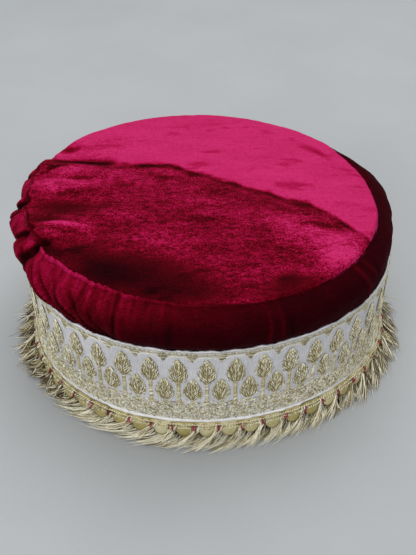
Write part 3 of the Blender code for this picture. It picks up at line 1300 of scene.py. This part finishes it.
@dataclass
class Ribbon:
    """The wide satin ribbon, its edges a little wavy where it was sewn on."""

    form: CapForm
    finish: SatinFinish = SatinFinish()
    columns: int = 720
    clearance: float = 0.0003
    tucked: float = 0.0009
    foot_shares: tuple[float, ...] = (0.0, 0.022, 0.034, 0.046, 0.058)
    middle_shares: tuple[float, ...] = tuple(np.linspace(0.08, 0.95, 12))
    top_shares: tuple[float, ...] = (0.976, 0.992, 1.0)
    # How far each row of the foot is rolled out, and how strongly a painted highlight whitens it and the
    # top's last rows
    foot_roll: tuple[float, ...] = (0.0, 0.0003, 0.0005, 0.0005, 0.0001)
    foot_edge: tuple[float, ...] = (1.0, 1.0, 1.0, 1.0, 0.6)
    top_edge: float = 0.6
    # How strongly the foot's painted highlight whitens it at each azimuth: most in front, less at the sides
    foot_highlight: tuple[tuple[float, float], ...] = (
        (0, 0.5),
        (190, 0.3),
        (228, 0.5),
        (246, 1.0),
        (292, 1.0),
        (318, 0.5),
        (360, 0.5),
    )

    def build(self) -> None:
        """Builds the ribbon as one closed band."""
        azimuth = np.arange(self.columns) * 360.0 / self.columns
        around = azimuth * DEGREE
        level = around * 0
        shares = (*self.foot_shares, *self.middle_shares, *self.top_shares)
        rolls = np.zeros(len(shares))
        rolls[: len(self.foot_roll)] = self.foot_roll
        top = 0.00030 * Ripple(11, 0.010).at(around, level) + 0.00018 * Ripple(15, 0.004).at(around, level)
        low = 0.00030 * Ripple(12, 0.014).at(around, level)
        foot = self.form.ribbon_bottom - self.tucked
        outer = []
        for share, roll in zip(shares, rolls):
            z = foot + share * (self.form.ribbon_top - foot)
            z = z + top * share**6 + low * (1 - share) ** 6
            lift = 0.00010 * Ripple(13, 0.011).at(around, z) + 0.00005 * Ripple(14, 0.004).at(around, z)
            lift = lift + roll * (1 + 0.5 * Ripple(17, 0.005).at(around, level)) - 0.00020 * share**40
            outer.append(self.form.on_wall(azimuth, self.form.ribbon_face + lift, z))
        inner = [self.form.on_wall(azimuth, self.clearance, outer[row][:, 2]) for row in (-1, 0)]
        rings = np.array(outer + inner)
        edge = np.zeros(rings.shape[:2])
        # A painted highlight on the foot's rows and the top's last rows
        highlight_share = look_up(self.foot_highlight, azimuth)[0]
        edge[: len(self.foot_edge)] = np.array(self.foot_edge)[:, None] * highlight_share
        edge[len(outer) - 2 : len(outer)] = self.top_edge
        mesh = new_mesh("ribbon_ground", rings, ring_faces(len(rings), self.columns, True), {"edge": edge})
        dress(mesh, [self.finish.material()], ("embroidered_ribbon",))


class Leaf(NamedTuple):
    """A worked leaf of the ribbon: its tip and foot below the ribbon's top, its half width and
    where its stem ends."""

    tip: float
    foot: float
    half_width: float
    stem_end: float
    phase: float


class Curl(NamedTuple):
    """A curl of the vine: its turns, its outer and inner radius, its middle as a share of a repeat
    aside and in metres below the vine's, the way it winds and the angle where it begins."""

    turns: float
    outer: float
    inner: float
    aside: float
    below: float
    way: int
    start: float


@dataclass
class Embroidery:
    """Gold work on the ribbon: two rows of leaves on stems, over a scrolling vine."""

    form: CapForm
    repeats: int = 44
    first: float = 270.2
    tall: Leaf = Leaf(0.0049, 0.0203, 0.0042, 0.0334, 0.0)
    short: Leaf = Leaf(0.0175, 0.0318, 0.0042, 0.0338, 0.5)
    lanes: int = 5
    # How far apart the stitches of a leaf's lane begin and how far each runs, as shares of the leaf
    stitch_pitch: float = 0.104
    stitch_share: float = 0.128
    thread: float = 0.00026
    stem_half: float = 0.0008
    seed: int = 21
    # The share of the threads given a painted glint, and how much lighter those are
    glints: float = 0.09
    glint: float = 0.45
    # The padded ground of a leaf: its rows, its columns as shares of its half width, and how
    # proud each column stands
    ground_rows: int = 12
    ground_columns: tuple[float, ...] = (-1.0, -0.5, 0.0, 0.5, 1.0)
    ground_proud: tuple[float, ...] = (0.00002, 0.00018, 0.00024, 0.00018, 0.00002)
    vine_middle: float = 0.0390
    vine_swing: float = 0.0028
    vine_top: float = 0.0334
    vine_foot: float = 0.0449
    scatter_columns: int = 14
    scatter_rows: int = 11
    curls: tuple[Curl, ...] = (
        Curl(1.35, 0.0029, 0.0007, 0.0, 0.0008, -1, 200),
        Curl(1.35, 0.0029, 0.0007, -0.5, -0.0006, 1, 160),
        Curl(1.0, 0.0014, 0.0005, 0.27, 0.0034, 1, 90),
        Curl(1.0, 0.0014, 0.0005, -0.27, 0.0034, -1, 90),
    )
    # The lines along the edges: the place of each below the ribbon's top, its radius and its tone
    lines: tuple[tuple[float, float, float], ...] = (
        (0.0008, 0.00022, 0.75),
        (0.0025, 0.00026, 0.65),
        (0.0451, 0.00020, 0.7),
    )

    @property
    def pitch(self) -> float:
        """How far one repeat lies from the next."""
        return self.form.girth() / self.repeats

    def place(self, middle: np.ndarray, across: np.ndarray, down: np.ndarray, proud: Amount) -> np.ndarray:
        """Points on the ribbon's face.

        Args:
            middle: how far along the wall the motif's middle lies.
            across: how far aside of it, in metres.
            down: how far below the ribbon's top.
            proud: how far off the ribbon's face.

        Returns:
            The points.
        """
        azimuth = self.form.walk(self.first, middle + across)
        return self.form.on_wall(azimuth, self.form.ribbon_face + proud, self.form.ribbon_top - down)

    def half_width(self, leaf: Leaf, share: np.ndarray) -> np.ndarray:
        """Half the leaf's width, from its tip at 0 to its foot at 1."""
        s = np.clip(share, 0, 1)
        return leaf.half_width * 2.19 * s**0.80 * (1 - s) ** 0.42

    def repeat(
        self,
        work: ThreadWork,
        across: np.ndarray,
        down: np.ndarray,
        phase: float,
        radius: Amount,
        proud: Amount,
        tones: tuple[float, float],
    ) -> None:
        """Works the same threads at every repeat of the ribbon.

        Args:
            work: the piece that they join.
            across: the threads' places aside of the motif, a row for each thread.
            down: their places below the ribbon's top.
            phase: where the motif lies in its repeat, 0 to 1.
            radius: the threads' radius.
            proud: how far their middle stands off the ribbon.
            tones: the darkest and lightest tone.
        """
        middle = ((np.arange(self.repeats) + phase) * self.pitch)[:, None, None]
        shape = (self.repeats, *across.shape)
        rng = np.random.default_rng(self.seed + int(phase * 100) + len(across))
        shift = rng.normal(0, 0.00014, (self.repeats, len(across), 1))
        spot = np.broadcast_to(across, shape) + shift, np.broadcast_to(down, shape) + shift[::-1]
        paths = self.place(middle, *spot, np.broadcast_to(proud, shape)).reshape(-1, across.shape[1], 3)
        azimuth = self.form.walk(self.first, middle)
        facing = self.form.outward(np.broadcast_to(azimuth, shape)).reshape(paths.shape)
        radii = np.broadcast_to(np.broadcast_to(radius, across.shape), shape).reshape(paths.shape[:2])
        tone = rng.uniform(*tones, len(paths))
        # A painted glint on some threads
        tone[rng.random(len(paths)) < self.glints] += self.glint
        work.add(paths, radii, facing, tone, flat=0.55)

    def leaf_threads(self, leaf: Leaf, work: ThreadWork) -> None:
        """Works a leaf's middle vein, lanes of steep stitches beside it and small ones round its edge.

        Args:
            leaf: the leaf.
            work: the piece that the threads join.
        """
        length = leaf.foot - leaf.tip
        down = np.linspace(leaf.tip - 0.0002, leaf.foot + 0.0002, 6)[None]
        self.repeat(work, down * 0, down, leaf.phase, 0.00026, 0.00044, (0.30, 0.80))
        along = np.linspace(0, 1, 3)
        taper = self.thread * np.array((0.70, 1.1, 0.65))
        arch = 0.00040 + 0.00020 * np.sin(math.pi * along)
        sides, falls = [], []
        for lane in range(self.lanes):
            first = 0.02 + 0.5 * self.stitch_pitch * (lane % 2)
            upper = np.arange(first, 0.98 - self.stitch_share, self.stitch_pitch)
            share = upper[:, None] + self.stitch_share * (1 - along)[None]
            aside = self.half_width(leaf, share) * (lane + 0.25 + 0.85 * along)[None] / (self.lanes + 0.30)
            sides += [aside, -aside]
            falls += [leaf.tip + share * length] * 2
        across, down = np.concatenate(sides), np.concatenate(falls)
        self.repeat(work, across, down, leaf.phase, taper, arch, (0.25, 1.10))
        share = np.linspace(0.06, 0.985, 15)
        side = self.half_width(leaf, share)[:, None] * np.array((0.96, 1.04)) + np.array((0.0, 0.00015))
        down = (leaf.tip + share * length)[:, None] + np.array((0.00018, -0.00018))
        across = np.concatenate((side, -side))
        down = np.concatenate((down, down))
        self.repeat(work, across, down, leaf.phase, 0.00022, 0.00034, (-0.25, 1.25))

    def stem_threads(self, leaf: Leaf, work: ThreadWork) -> None:
        """Works a stem in slanting satin stitches from the leaf's foot down to the vine.

        Args:
            leaf: the leaf that it bears.
            work: the piece that the threads join.
        """
        rows = np.arange(leaf.foot - 0.0004, leaf.stem_end + 0.0008, 0.00062)
        widen = 1 + 0.5 * soft_step(rows, leaf.stem_end - 0.002, leaf.stem_end + 0.001)
        across = np.linspace(-1, 1, 3)[None] * (self.stem_half * widen)[:, None]
        down = rows[:, None] + np.linspace(0.0003, -0.0003, 3)[None]
        proud = np.broadcast_to(np.array((0.0002, 0.00042, 0.0002)), down.shape)
        self.repeat(work, across, down, leaf.phase, 0.00034, proud, (0.35, 0.75))

    def leaf_grounds(self) -> bpy.types.Mesh:
        """The dark stitches under each leaf's veins, their darkness a painted shade in the gaps between the
        veins, as one low padded shape a leaf.

        Returns:
            The mesh of all the grounds.
        """
        share = np.linspace(0.03, 0.985, self.ground_rows)
        width = len(self.ground_columns)
        points, faces = [], []
        for leaf in (self.tall, self.short):
            across = (self.half_width(leaf, share) * 0.93)[:, None] * np.array(self.ground_columns)
            down = np.broadcast_to((leaf.tip + share * (leaf.foot - leaf.tip))[:, None], across.shape)
            proud = np.broadcast_to(np.array(self.ground_proud), across.shape)
            for number in range(self.repeats):
                first = len(points) * across.size
                middle = np.array((number + leaf.phase) * self.pitch)
                points.append(self.place(middle, across, down, proud).reshape(-1, 3))
                for row in range(len(share) - 1):
                    for column in range(width - 1):
                        a = first + row * width + column
                        faces.append([a, a + width, a + width + 1, a + 1])
        points = np.concatenate(points)
        return new_mesh("leaf_grounds", points, faces, {"tone": np.full(len(points), 0.5)})

    def scroll(self, curl: Curl) -> np.ndarray:
        """The line that a curl of the vine follows.

        Args:
            curl: the curl.

        Returns:
            Two rows, across and down.
        """
        t = np.linspace(0, 1, 17)
        angle = math.radians(curl.start) + curl.way * math.tau * curl.turns * t
        reach = curl.outer + (curl.inner - curl.outer) * t**0.8
        across = self.pitch * curl.aside + reach * np.cos(angle)
        return np.stack((across, self.vine_middle + curl.below + reach * np.sin(angle)))

    def in_runs(self, work: ThreadWork, line: np.ndarray, proud: float, tones: tuple[float, float]) -> None:
        """Works a line in short stitches, end to end.

        Args:
            work: the piece that they join.
            line: its two rows, across and down.
            proud: how far it stands off the ribbon.
            tones: its darkest and lightest tone.
        """
        runs = np.stack([line[:, i : i + 3] for i in range(0, line.shape[1] - 2, 2)], 1)
        self.repeat(work, runs[0], runs[1], 0.0, self.thread * 0.85, proud, tones)

    def vine_threads(self, work: ThreadWork) -> None:
        """Works the vine: a wave with a curl in each bend, over close scattered stitches.

        Args:
            work: the piece that the threads join.
        """
        t = np.linspace(0, 1, 21)
        wave = self.vine_middle + self.vine_swing * np.cos(math.tau * t)
        for offset in (-0.0004, 0.0004):
            self.in_runs(work, np.stack(((t - 0.5) * self.pitch, wave + offset)), 0.00042, (0.45, 1.0))
        for curl in self.curls:
            self.in_runs(work, self.scroll(curl), 0.00046, (0.40, 1.05))
        rng = np.random.default_rng(self.seed)
        columns = self.scatter_columns
        count = columns * self.scatter_rows
        place = (np.arange(count) % columns + rng.uniform(-0.1, 1.1, count)) / columns - 0.5
        drop = (np.arange(count) // columns + rng.uniform(0.0, 1.0, count)) / self.scatter_rows
        angle = rng.uniform(0, math.pi, count)[:, None]
        half = rng.uniform(0.00040, 0.00085, count)[:, None] * np.array((-1.0, 1.0))
        top = self.vine_top + 0.0010 * np.cos(place * math.tau * 2)
        across = place[:, None] * self.pitch + half * np.cos(angle)
        down = (top + drop * (self.vine_foot - top))[:, None] + half * np.sin(angle)
        self.repeat(work, across, down, 0.0, 0.00033, 0.00030, (0.15, 1.10))

    def border_threads(self, work: ThreadWork) -> None:
        """Works the lines along the ribbon's edges, and the points and arches between the leaves; each arch
        is a pale thread standing as a painted highlight on the raised satin.

        Args:
            work: the piece that the threads join.
        """
        t = np.linspace(-0.5, 0.5, 13)[None]
        for down, radius, tone in self.lines:
            depth = down + 0.00015 * np.sin(t * math.tau * 3)
            self.repeat(work, t * self.pitch, depth, 0.0, radius, 0.0003, (tone - 0.2, tone))
        # A pale, nearly flat thread along each arch, as a painted highlight
        arch = 0.0034 + 0.0030 * np.abs(2 * t) ** 3
        self.repeat(work, t * self.pitch * 0.94, arch, 0.0, 0.00018, 0.00004, (0.90, 1.10))
        rows = np.linspace(0, 1, 6)
        half = 0.0021 * (1 - rows) ** 1.1 + 0.0002
        across = np.linspace(-1, 1, 3)[None] * half[:, None]
        down = np.broadcast_to((0.0030 + rows * 0.0032)[:, None], across.shape)
        self.repeat(work, across, down, 0.5, 0.00030, 0.00030, (0.05, 0.65))
        marks = np.linspace(-0.48, 0.48, 15)
        across = marks[:, None] * self.pitch + np.array((-0.0003, 0.0003))
        down = np.broadcast_to(np.array((0.0011, 0.0022)), across.shape)
        self.repeat(work, across, down, 0.0, 0.00020, 0.00022, (0.1, 1.1))

    def build(self) -> None:
        """Builds the leaves, and the vine with its borders."""
        dress(self.leaf_grounds(), [Thread.FILL_GOLD.value.material()])
        gold = Thread.STITCH_GOLD.value.material()
        for leaf, name in ((self.tall, "tall_leaf_work"), (self.short, "short_leaf_work")):
            leaves = ThreadWork(name)
            self.leaf_threads(leaf, leaves)
            self.stem_threads(leaf, leaves)
            dress(leaves.mesh(), [gold])
        vine = ThreadWork("vine_work")
        self.vine_threads(vine)
        self.border_threads(vine)
        dress(vine.mesh(), [gold])


# The trims under the ribbon


@dataclass
class ScallopTrim:
    """The foil strip with its half rounds, the twisted gimp over it and the ties between."""

    form: CapForm
    finish: FoilFinish = FoilFinish()
    scallops: int = 54
    inner: float = 0.0013
    foil: float = 0.0008
    flare: float = 0.0014
    tip_z: float = 0.0055
    notch_z: float = 0.0109
    top_z: float = 0.0132
    bulge: float = 0.0011
    round_share: float = 0.76
    steps: int = 16
    rows: int = 9
    ties_kept: float = 0.85
    stitches: int = 16

    @property
    def face(self) -> float:
        """How far the foil's face stands off the wall."""
        return self.inner + self.foil

    def strip(self) -> bpy.types.Mesh:
        """The strip, each half round domed and drawn in at its ties.

        Returns:
            The strip's mesh.
        """
        columns = self.scallops * self.steps
        azimuth = self.form.walk(0.0, np.arange(columns) * self.form.girth() / columns)
        across = (np.arange(columns) % self.steps) / self.steps * 2 - 1
        rounded = np.clip(1 - (across / self.round_share) ** 2, 0, 1)
        low = self.notch_z - (self.notch_z - self.tip_z) * np.sqrt(rounded)
        rings, shade_edges = [], []
        for share in np.linspace(0, 1, self.rows):
            z = low + (self.top_z - low) * share
            flare = self.flare * (self.top_z - z) / (self.top_z - self.tip_z)
            dome = self.bulge * rounded**0.5 * math.sin(math.pi * min(1.0, 0.12 + share * 0.88)) ** 0.7
            rings.append(self.form.on_wall(azimuth, self.face + flare + dome, z))
            # The lowest row and the notches are marked for painted shade on the foil
            shade_edges.append(np.full(columns, 1.0 if share < 0.1 else 0.0) + (rounded < 0.2))
        flare = self.flare * (self.top_z - low) / (self.top_z - self.tip_z)
        rings.append(self.form.on_wall(azimuth, self.inner, self.top_z))
        rings.append(self.form.on_wall(azimuth, self.inner + flare, low))
        shade_edges += [np.zeros(columns)] * 2
        faces = ring_faces(len(rings), columns, closed=True)
        tone = np.repeat(np.random.default_rng(30).uniform(0.25, 1.0, self.scallops), self.steps)
        painted = {"edge": np.clip(shade_edges, 0, 1), "tone": np.broadcast_to(tone, (len(rings), columns))}
        return new_mesh("foil_scallops", np.array(rings), faces, painted)

    def ties(
        self,
        work: ThreadWork,
        tones: tuple[float, float],
        shifts: tuple[float, ...],
        seed: int,
        proud: float,
    ) -> None:
        """Winds threads round the strip at each notch.

        Args:
            work: the piece that they join.
            tones: the darkest and lightest tone.
            shifts: each thread's place aside of the notch, in degrees.
            seed: which way they stray.
            proud: how far they stand off the strip.
        """
        rng = np.random.default_rng(seed)
        notch = self.form.walk(0.0, np.arange(self.scallops) * self.form.girth() / self.scallops)
        count = self.scallops * len(shifts)
        middle = np.repeat(notch, len(shifts)) + np.tile(shifts, self.scallops) + rng.normal(0, 0.20, count)
        middle = middle[rng.random(count) < self.ties_kept]
        count = len(middle)
        t = np.linspace(0, 1, 7)[None]
        azimuth = middle[:, None] + rng.normal(-0.55, 0.60, (count, 1)) * (t - 0.5)
        z = self.top_z - 0.0004 - rng.uniform(0.0020, 0.0052, (count, 1)) * t
        out = self.face + proud + 0.0011 * np.sin(math.pi * t) + 0.0004 * t
        paths = self.form.on_wall(azimuth, out, z)
        radius = 0.00036 * (1.1 - 0.7 * t**2) * rng.uniform(0.7, 1.1, (count, 1))
        tone = rng.uniform(*tones, count)
        work.add(paths, radius, self.form.outward(azimuth), tone, sides=4, flat=0.8)

    def gimp(self, work: ThreadWork, drop: float, turns: int, girth: float) -> None:
        """Twists two gold threads into a cord along the strip.

        Args:
            work: the piece that they join.
            drop: how far below the strip's top the cord lies.
            turns: how many times it is twisted on its way round.
            girth: how far its threads lie from its middle.
        """
        count, per_turn = 110, 5
        t = np.linspace(0, 1, turns // count * per_turn + 1)[None]
        around = np.arange(count)[:, None] * 360.0 / count + t * 360.0 / count
        for start in (0.0, math.pi):
            angle = start + t * math.tau * (turns / count)
            z = self.top_z - drop + girth * np.sin(angle)
            out = self.face + 0.0005 + 0.4 * drop + girth * np.cos(angle)
            paths = self.form.on_wall(around, out, np.broadcast_to(z, around.shape))
            tone = np.full(count, 0.85 if start else 0.45)
            work.add(paths, girth * 0.95, self.form.outward(around), tone)

    def mottle(self, work: ThreadWork) -> None:
        """Sews small light and dark stitches over the strip's upper band.

        Args:
            work: the piece that the threads join.
        """
        rng = np.random.default_rng(34)
        count = self.scallops * self.stitches
        azimuth = rng.uniform(0, 360, (count, 1))
        t = np.linspace(-0.5, 0.5, 2)[None]
        around = azimuth + t * rng.uniform(-0.5, 0.5, (count, 1))
        z = rng.uniform(self.notch_z - 0.0002, self.top_z, (count, 1))
        z = z + t * rng.uniform(-0.0009, 0.0009, (count, 1))
        paths = self.form.on_wall(around, self.face + 0.0019, z)
        work.add(paths, 0.00026, self.form.outward(around), rng.uniform(-0.4, 1.2, count), flat=0.7)

    def specks(self, work: ThreadWork) -> None:
        """Sets the small crimson stitches that hold the ribbon's lower edge.

        Args:
            work: the piece that the threads join.
        """
        rng = np.random.default_rng(33)
        count = self.scallops * 2
        azimuth = (np.arange(count) + rng.uniform(-0.3, 0.3, count)) * 360.0 / count
        t = np.linspace(-0.5, 0.5, 3)[None]
        around = azimuth[:, None] + t * rng.uniform(0.3, 0.9, (count, 1))
        z = self.top_z + 0.0004 + t * rng.uniform(-0.0006, 0.0006, (count, 1))
        paths = self.form.on_wall(around, self.face + 0.0009, z)
        work.add(paths, 0.00016, self.form.outward(around), rng.uniform(0.1, 0.9, count))

    def build(self) -> None:
        """Builds the strip, the gimp and the ties."""
        dress(self.strip(), [self.finish.material()], ("scallop_strip",))
        gold = ThreadWork("gimp_cord")
        self.gimp(gold, 0.0004, 440, 0.00032)
        self.gimp(gold, 0.0021, 440, 0.00034)
        self.ties(gold, (-0.1, 1.1), (-0.85, 0.60, 0.95), 31, 0.0009)
        self.mottle(gold)
        dress(gold.mesh(), [Thread.STITCH_GOLD.value.material()])
        red = ThreadWork("crimson_ties")
        self.ties(red, (0.0, 0.9), (-0.20, 0.0, 0.18), 32, 0.0013)
        self.specks(red)
        dress(red.mesh(), [Thread.CRIMSON.value.material()])


class FringeRow(NamedTuple):
    """How the fringe lies at an azimuth: its reach, its sweep, how loose its threads are, the share
    of its threads that fall over the scallops, and their painted light and shade."""

    azimuth: float
    reach: float
    sweep: float
    fluff: float
    over: float
    light: float


class Layer(NamedTuple):
    """One layer of the fringe.

    Its threads start between two heights at a distance off the wall, gather in tufts, and end
    at a share of the fringe's reach; the stray is how far they part from their tuft, and the
    spread how wide apart they start.
    """

    name: str
    threads: int
    tufts: int
    radius: float
    root_out: float
    low: float
    high: float
    share: float
    stray: float
    spread: float
    tones: tuple[float, float]

    @property
    def over(self) -> bool:
        """Whether its threads start over the scallops, not behind them."""
        return self.root_out > 0.002


@dataclass
class Fringe:
    """The metal-thread fringe, in tufts that fall from behind the scallops onto the floor."""

    form: CapForm
    stations: int = 7
    table: tuple[FringeRow, ...] = (
        FringeRow(0, 0.0128, -0.0065, 0.40, 0.6, -0.16),
        FringeRow(45, 0.0115, 0.0, 0.45, 0.4, -0.05),
        FringeRow(90, 0.0085, 0.0, 0.40, 0.3, 0.0),
        FringeRow(135, 0.0118, 0.0, 0.70, 0.3, -0.05),
        FringeRow(165, 0.0135, 0.0010, 0.95, 0.5, -0.24),
        FringeRow(180, 0.0142, 0.0012, 1.00, 0.6, -0.30),
        FringeRow(197, 0.0138, 0.0, 0.90, 0.5, -0.32),
        FringeRow(212, 0.0104, -0.0030, 0.60, 0.4, -0.24),
        FringeRow(224, 0.0086, -0.0085, 0.35, 0.3, 0.05),
        FringeRow(236, 0.0076, -0.0125, 0.20, 0.3, 0.40),
        FringeRow(250, 0.0076, -0.0130, 0.15, 0.5, 0.46),
        FringeRow(270, 0.0082, -0.0105, 0.12, 0.85, 0.42),
        FringeRow(300, 0.0080, -0.0078, 0.15, 1.0, 0.38),
        FringeRow(318, 0.0084, -0.0070, 0.25, 1.0, 0.14),
        FringeRow(335, 0.0112, -0.0080, 0.40, 0.9, -0.04),
        FringeRow(360, 0.0128, -0.0065, 0.40, 0.6, -0.16),
    )
    # How high the tufts' ends lie, in turn
    lifts: tuple[float, ...] = (0.0, 0.0022, 0.0006, 0.0034, 0.0002, 0.0014)
    # How far the tufts lean, the threads stray and their ends curl aside, in metres
    tuft_lean: float = 0.0015
    thread_stray: float = 0.0011
    thread_curl: float = 0.0009
    # How much higher loose threads start and end
    loose_root: float = 0.0042
    loose_end: float = 0.0024
    lowest: float = 0.00025
    layers: tuple[Layer, ...] = (
        # The under threads have dark tones, as painted shade deep in the fringe
        Layer(
            "fringe_under_threads", 2300, 108, 0.00017, 0.0009, 0.0006, 0.0030,
            0.84, 0.9, 1.0, (-0.45, 0.0),
        ),
        Layer(
            "fringe_threads", 3600, 108, 0.00020, 0.0009, 0.0010, 0.0036,
            1.0, 0.8, 1.0, (-0.50, 1.15),
        ),
        Layer(
            "fringe_upper_threads", 2500, 54, 0.00021, 0.0012, 0.0040, 0.0094,
            0.95, 1.1, 0.55, (-0.50, 1.45),
        ),
        Layer(
            "fringe_loose_threads", 1200, 300, 0.00015, 0.0012, 0.0020, 0.0070,
            1.05, 2.1, 1.0, (0.3, 1.3),
        ),
        Layer(
            "fringe_over_threads", 1500, 54, 0.00023, 0.0029, 0.0100, 0.0116,
            0.98, 1.2, 0.55, (-0.25, 1.60),
        ),
    )

    def threads(self, layer: Layer, seed: int) -> bpy.types.Mesh:
        """Lays one layer of threads.

        Args:
            layer: how the layer lies.
            seed: which way the threads stray.

        Returns:
            The layer's mesh.
        """
        rng = np.random.default_rng(seed)
        pitch = 360.0 / layer.tufts
        tuft = rng.integers(0, layer.tufts, layer.threads)
        if layer.over:
            laid_over = look_up(self.table, tuft * pitch)[3]
            tuft = tuft[rng.random(layer.threads) < laid_over]
        n = len(tuft)
        lean, size = rng.normal(0, 1, layer.tufts)[tuft], rng.normal(0, 1, layer.tufts)[tuft]
        aside = np.clip(rng.normal(0, 0.24, n), -0.6, 0.6)
        start = self.form.walk(0.0, (tuft + aside * layer.spread) / layer.tufts * self.form.girth())
        reach, sweep, fluff, _, light = look_up(self.table, start)
        lift = np.array(self.lifts)[tuft % len(self.lifts)]
        full = rng.beta(6, 1.5, n) * layer.share
        full = full * (1 + 0.09 * size + 0.14 * layer.stray * rng.normal(0, 1, n).clip(-1, 1.6))

        t = np.linspace(0, 1, self.stations)[None]
        far = np.maximum(reach * full - layer.root_out, 0.0012)[:, None]
        out = layer.root_out + far * t ** (1.35 if layer.over else 0.9)
        wander = self.tuft_lean * lean + rng.normal(0, self.thread_stray * layer.stray, n)
        curl = 0.35 * rng.normal(0, self.thread_curl, n)
        drift = wander[:, None] * t**1.8 + curl[:, None] * np.sin(t * math.pi * 1.7)
        drift = drift + (sweep * full)[:, None] * t**1.6
        gather = aside[:, None] * pitch * 0.55 * np.sin(math.pi * np.clip(t * 1.15, 0, 1))
        azimuth = start[:, None] + np.degrees(drift / self.form.base.radius) - gather

        loose_root = 0.0 if layer.over else self.loose_root
        root = rng.uniform(layer.low, layer.high, n) + loose_root * fluff * rng.random(n) ** 2
        rest = 0.0003 + rng.random(n) ** 2 * 0.0014 + lift * 0.5 * rng.random(n)
        rest = rest + fluff * layer.stray * self.loose_end * rng.random(n) ** 2
        hump = 0.0009 * rng.random(n)[:, None] * np.sin(math.pi * t)
        z = root[:, None] * (1 - t) ** (1.15 if layer.over else 1.4) + rest[:, None] * t**0.8 + hump
        paths = self.form.on_wall(azimuth, out, np.maximum(z, self.lowest))

        radius = layer.radius * (1.1 - 0.8 * t**4) * rng.uniform(0.7, 1.3, n)[:, None]
        facing = np.broadcast_to(np.array((0.0, 0.0, 1.0)), paths.shape)
        if layer.over:
            facing = self.form.outward(azimuth)
        # Painted light and shade by azimuth, and painted shade darker towards the roots under the scallops,
        # a little lighter at the tips
        tone = (rng.uniform(*layer.tones, n) + light)[:, None] - 0.34 * (1 - t) ** 2 + 0.10 * t
        work = ThreadWork(layer.name)
        work.add(paths, radius, facing, tone)
        return work.mesh()

    def heading(self) -> bpy.types.Mesh:
        """The tape that holds the threads, behind the scallops.

        Returns:
            The tape's mesh.
        """
        azimuth = np.arange(360.0)
        levels = ((0.0003, 0.0010), (0.0010, 0.0010), (0.0010, 0.0125), (0.0003, 0.0125))
        rings = np.array([self.form.on_wall(azimuth, out, z) for out, z in levels])
        tone = np.full(rings.shape[:2], 0.05)
        return new_mesh("fringe_heading", rings, ring_faces(4, len(azimuth), True), {"tone": tone})

    def build(self) -> None:
        """Builds the heading and the layers of threads."""
        gold = Thread.FRINGE_GOLD.value.material()
        dress(self.heading(), [Thread.CRIMSON.value.material()])
        for number, layer in enumerate(self.layers):
            nodes = ("fringe",) if number == 1 else ()
            dress(self.threads(layer, 41 + number), [gold], nodes)


# The setting


class Lamp(NamedTuple):
    """A soft square light that faces the cap."""

    name: str
    place: Point
    size: float
    power: float


@dataclass
class Studio:
    """A plain pale floor, soft light and the camera."""

    eye: Point = (0.0007, -0.3349, 0.3042)
    pitch: float = 39.21
    lens: float = 50.0
    floor_size: float = 40.0
    sky: tuple[float, float, float, float] = (0.93, 0.96, 1.0, 1.0)
    sky_strength: float = 0.62
    lamps: tuple[Lamp, ...] = (
        Lamp("overhead", (0.15, 0.35, 1.3), 1.1, 12.0),
        Lamp("front_fill", (-0.5, -1.1, 0.8), 0.9, 9.0),
    )

    def build_floor(self) -> None:
        """Lays the floor."""
        half = self.floor_size / 2
        corners = np.array([(-half, -half, 0), (half, -half, 0), (half, half, 0), (-half, half, 0)], float)
        mesh = new_mesh("floor", corners, [[0, 1, 2, 3]], {})
        mesh.materials.append(FloorFinish().material())
        floor = bpy.data.objects.new("floor", mesh)
        bpy.context.scene.collection.objects.link(floor)

    def hang(self, lamp: Lamp) -> None:
        """Hangs a lamp.

        Args:
            lamp: the lamp.
        """
        light = bpy.data.lights.new(lamp.name, "AREA")
        light.size, light.energy = lamp.size, lamp.power
        hung = bpy.data.objects.new(lamp.name, light)
        hung.location = lamp.place
        hung.rotation_euler = (-hung.location).to_track_quat("-Z", "Y").to_euler()
        bpy.context.scene.collection.objects.link(hung)

    def build(self) -> None:
        """Sets the floor, the lights and the camera."""
        self.build_floor()
        world = bpy.data.worlds.new("soft_room")
        world.use_nodes = True
        background = world.node_tree.nodes["Background"]
        background.inputs["Color"].default_value = self.sky
        background.inputs["Strength"].default_value = self.sky_strength
        bpy.context.scene.world = world
        bpy.context.scene.view_settings.view_transform = "Standard"
        for lamp in self.lamps:
            self.hang(lamp)
        lens = bpy.data.cameras.new("camera")
        lens.lens = self.lens
        camera = bpy.data.objects.new("camera", lens)
        camera.location = self.eye
        camera.rotation_euler = (math.radians(90 - self.pitch), 0.0, 0.0)
        bpy.context.scene.collection.objects.link(camera)
        bpy.context.scene.camera = camera


def main() -> None:
    """Builds the studio and the cap."""
    logging.basicConfig(level=logging.INFO, format="%(name)s: %(message)s")
    form = CapForm()
    Studio().build()
    for part in (Crown(form), Side(form), Ribbon(form), Embroidery(form), ScallopTrim(form), Fringe(form)):
        part.build()


if __name__ == "__main__":
    main()
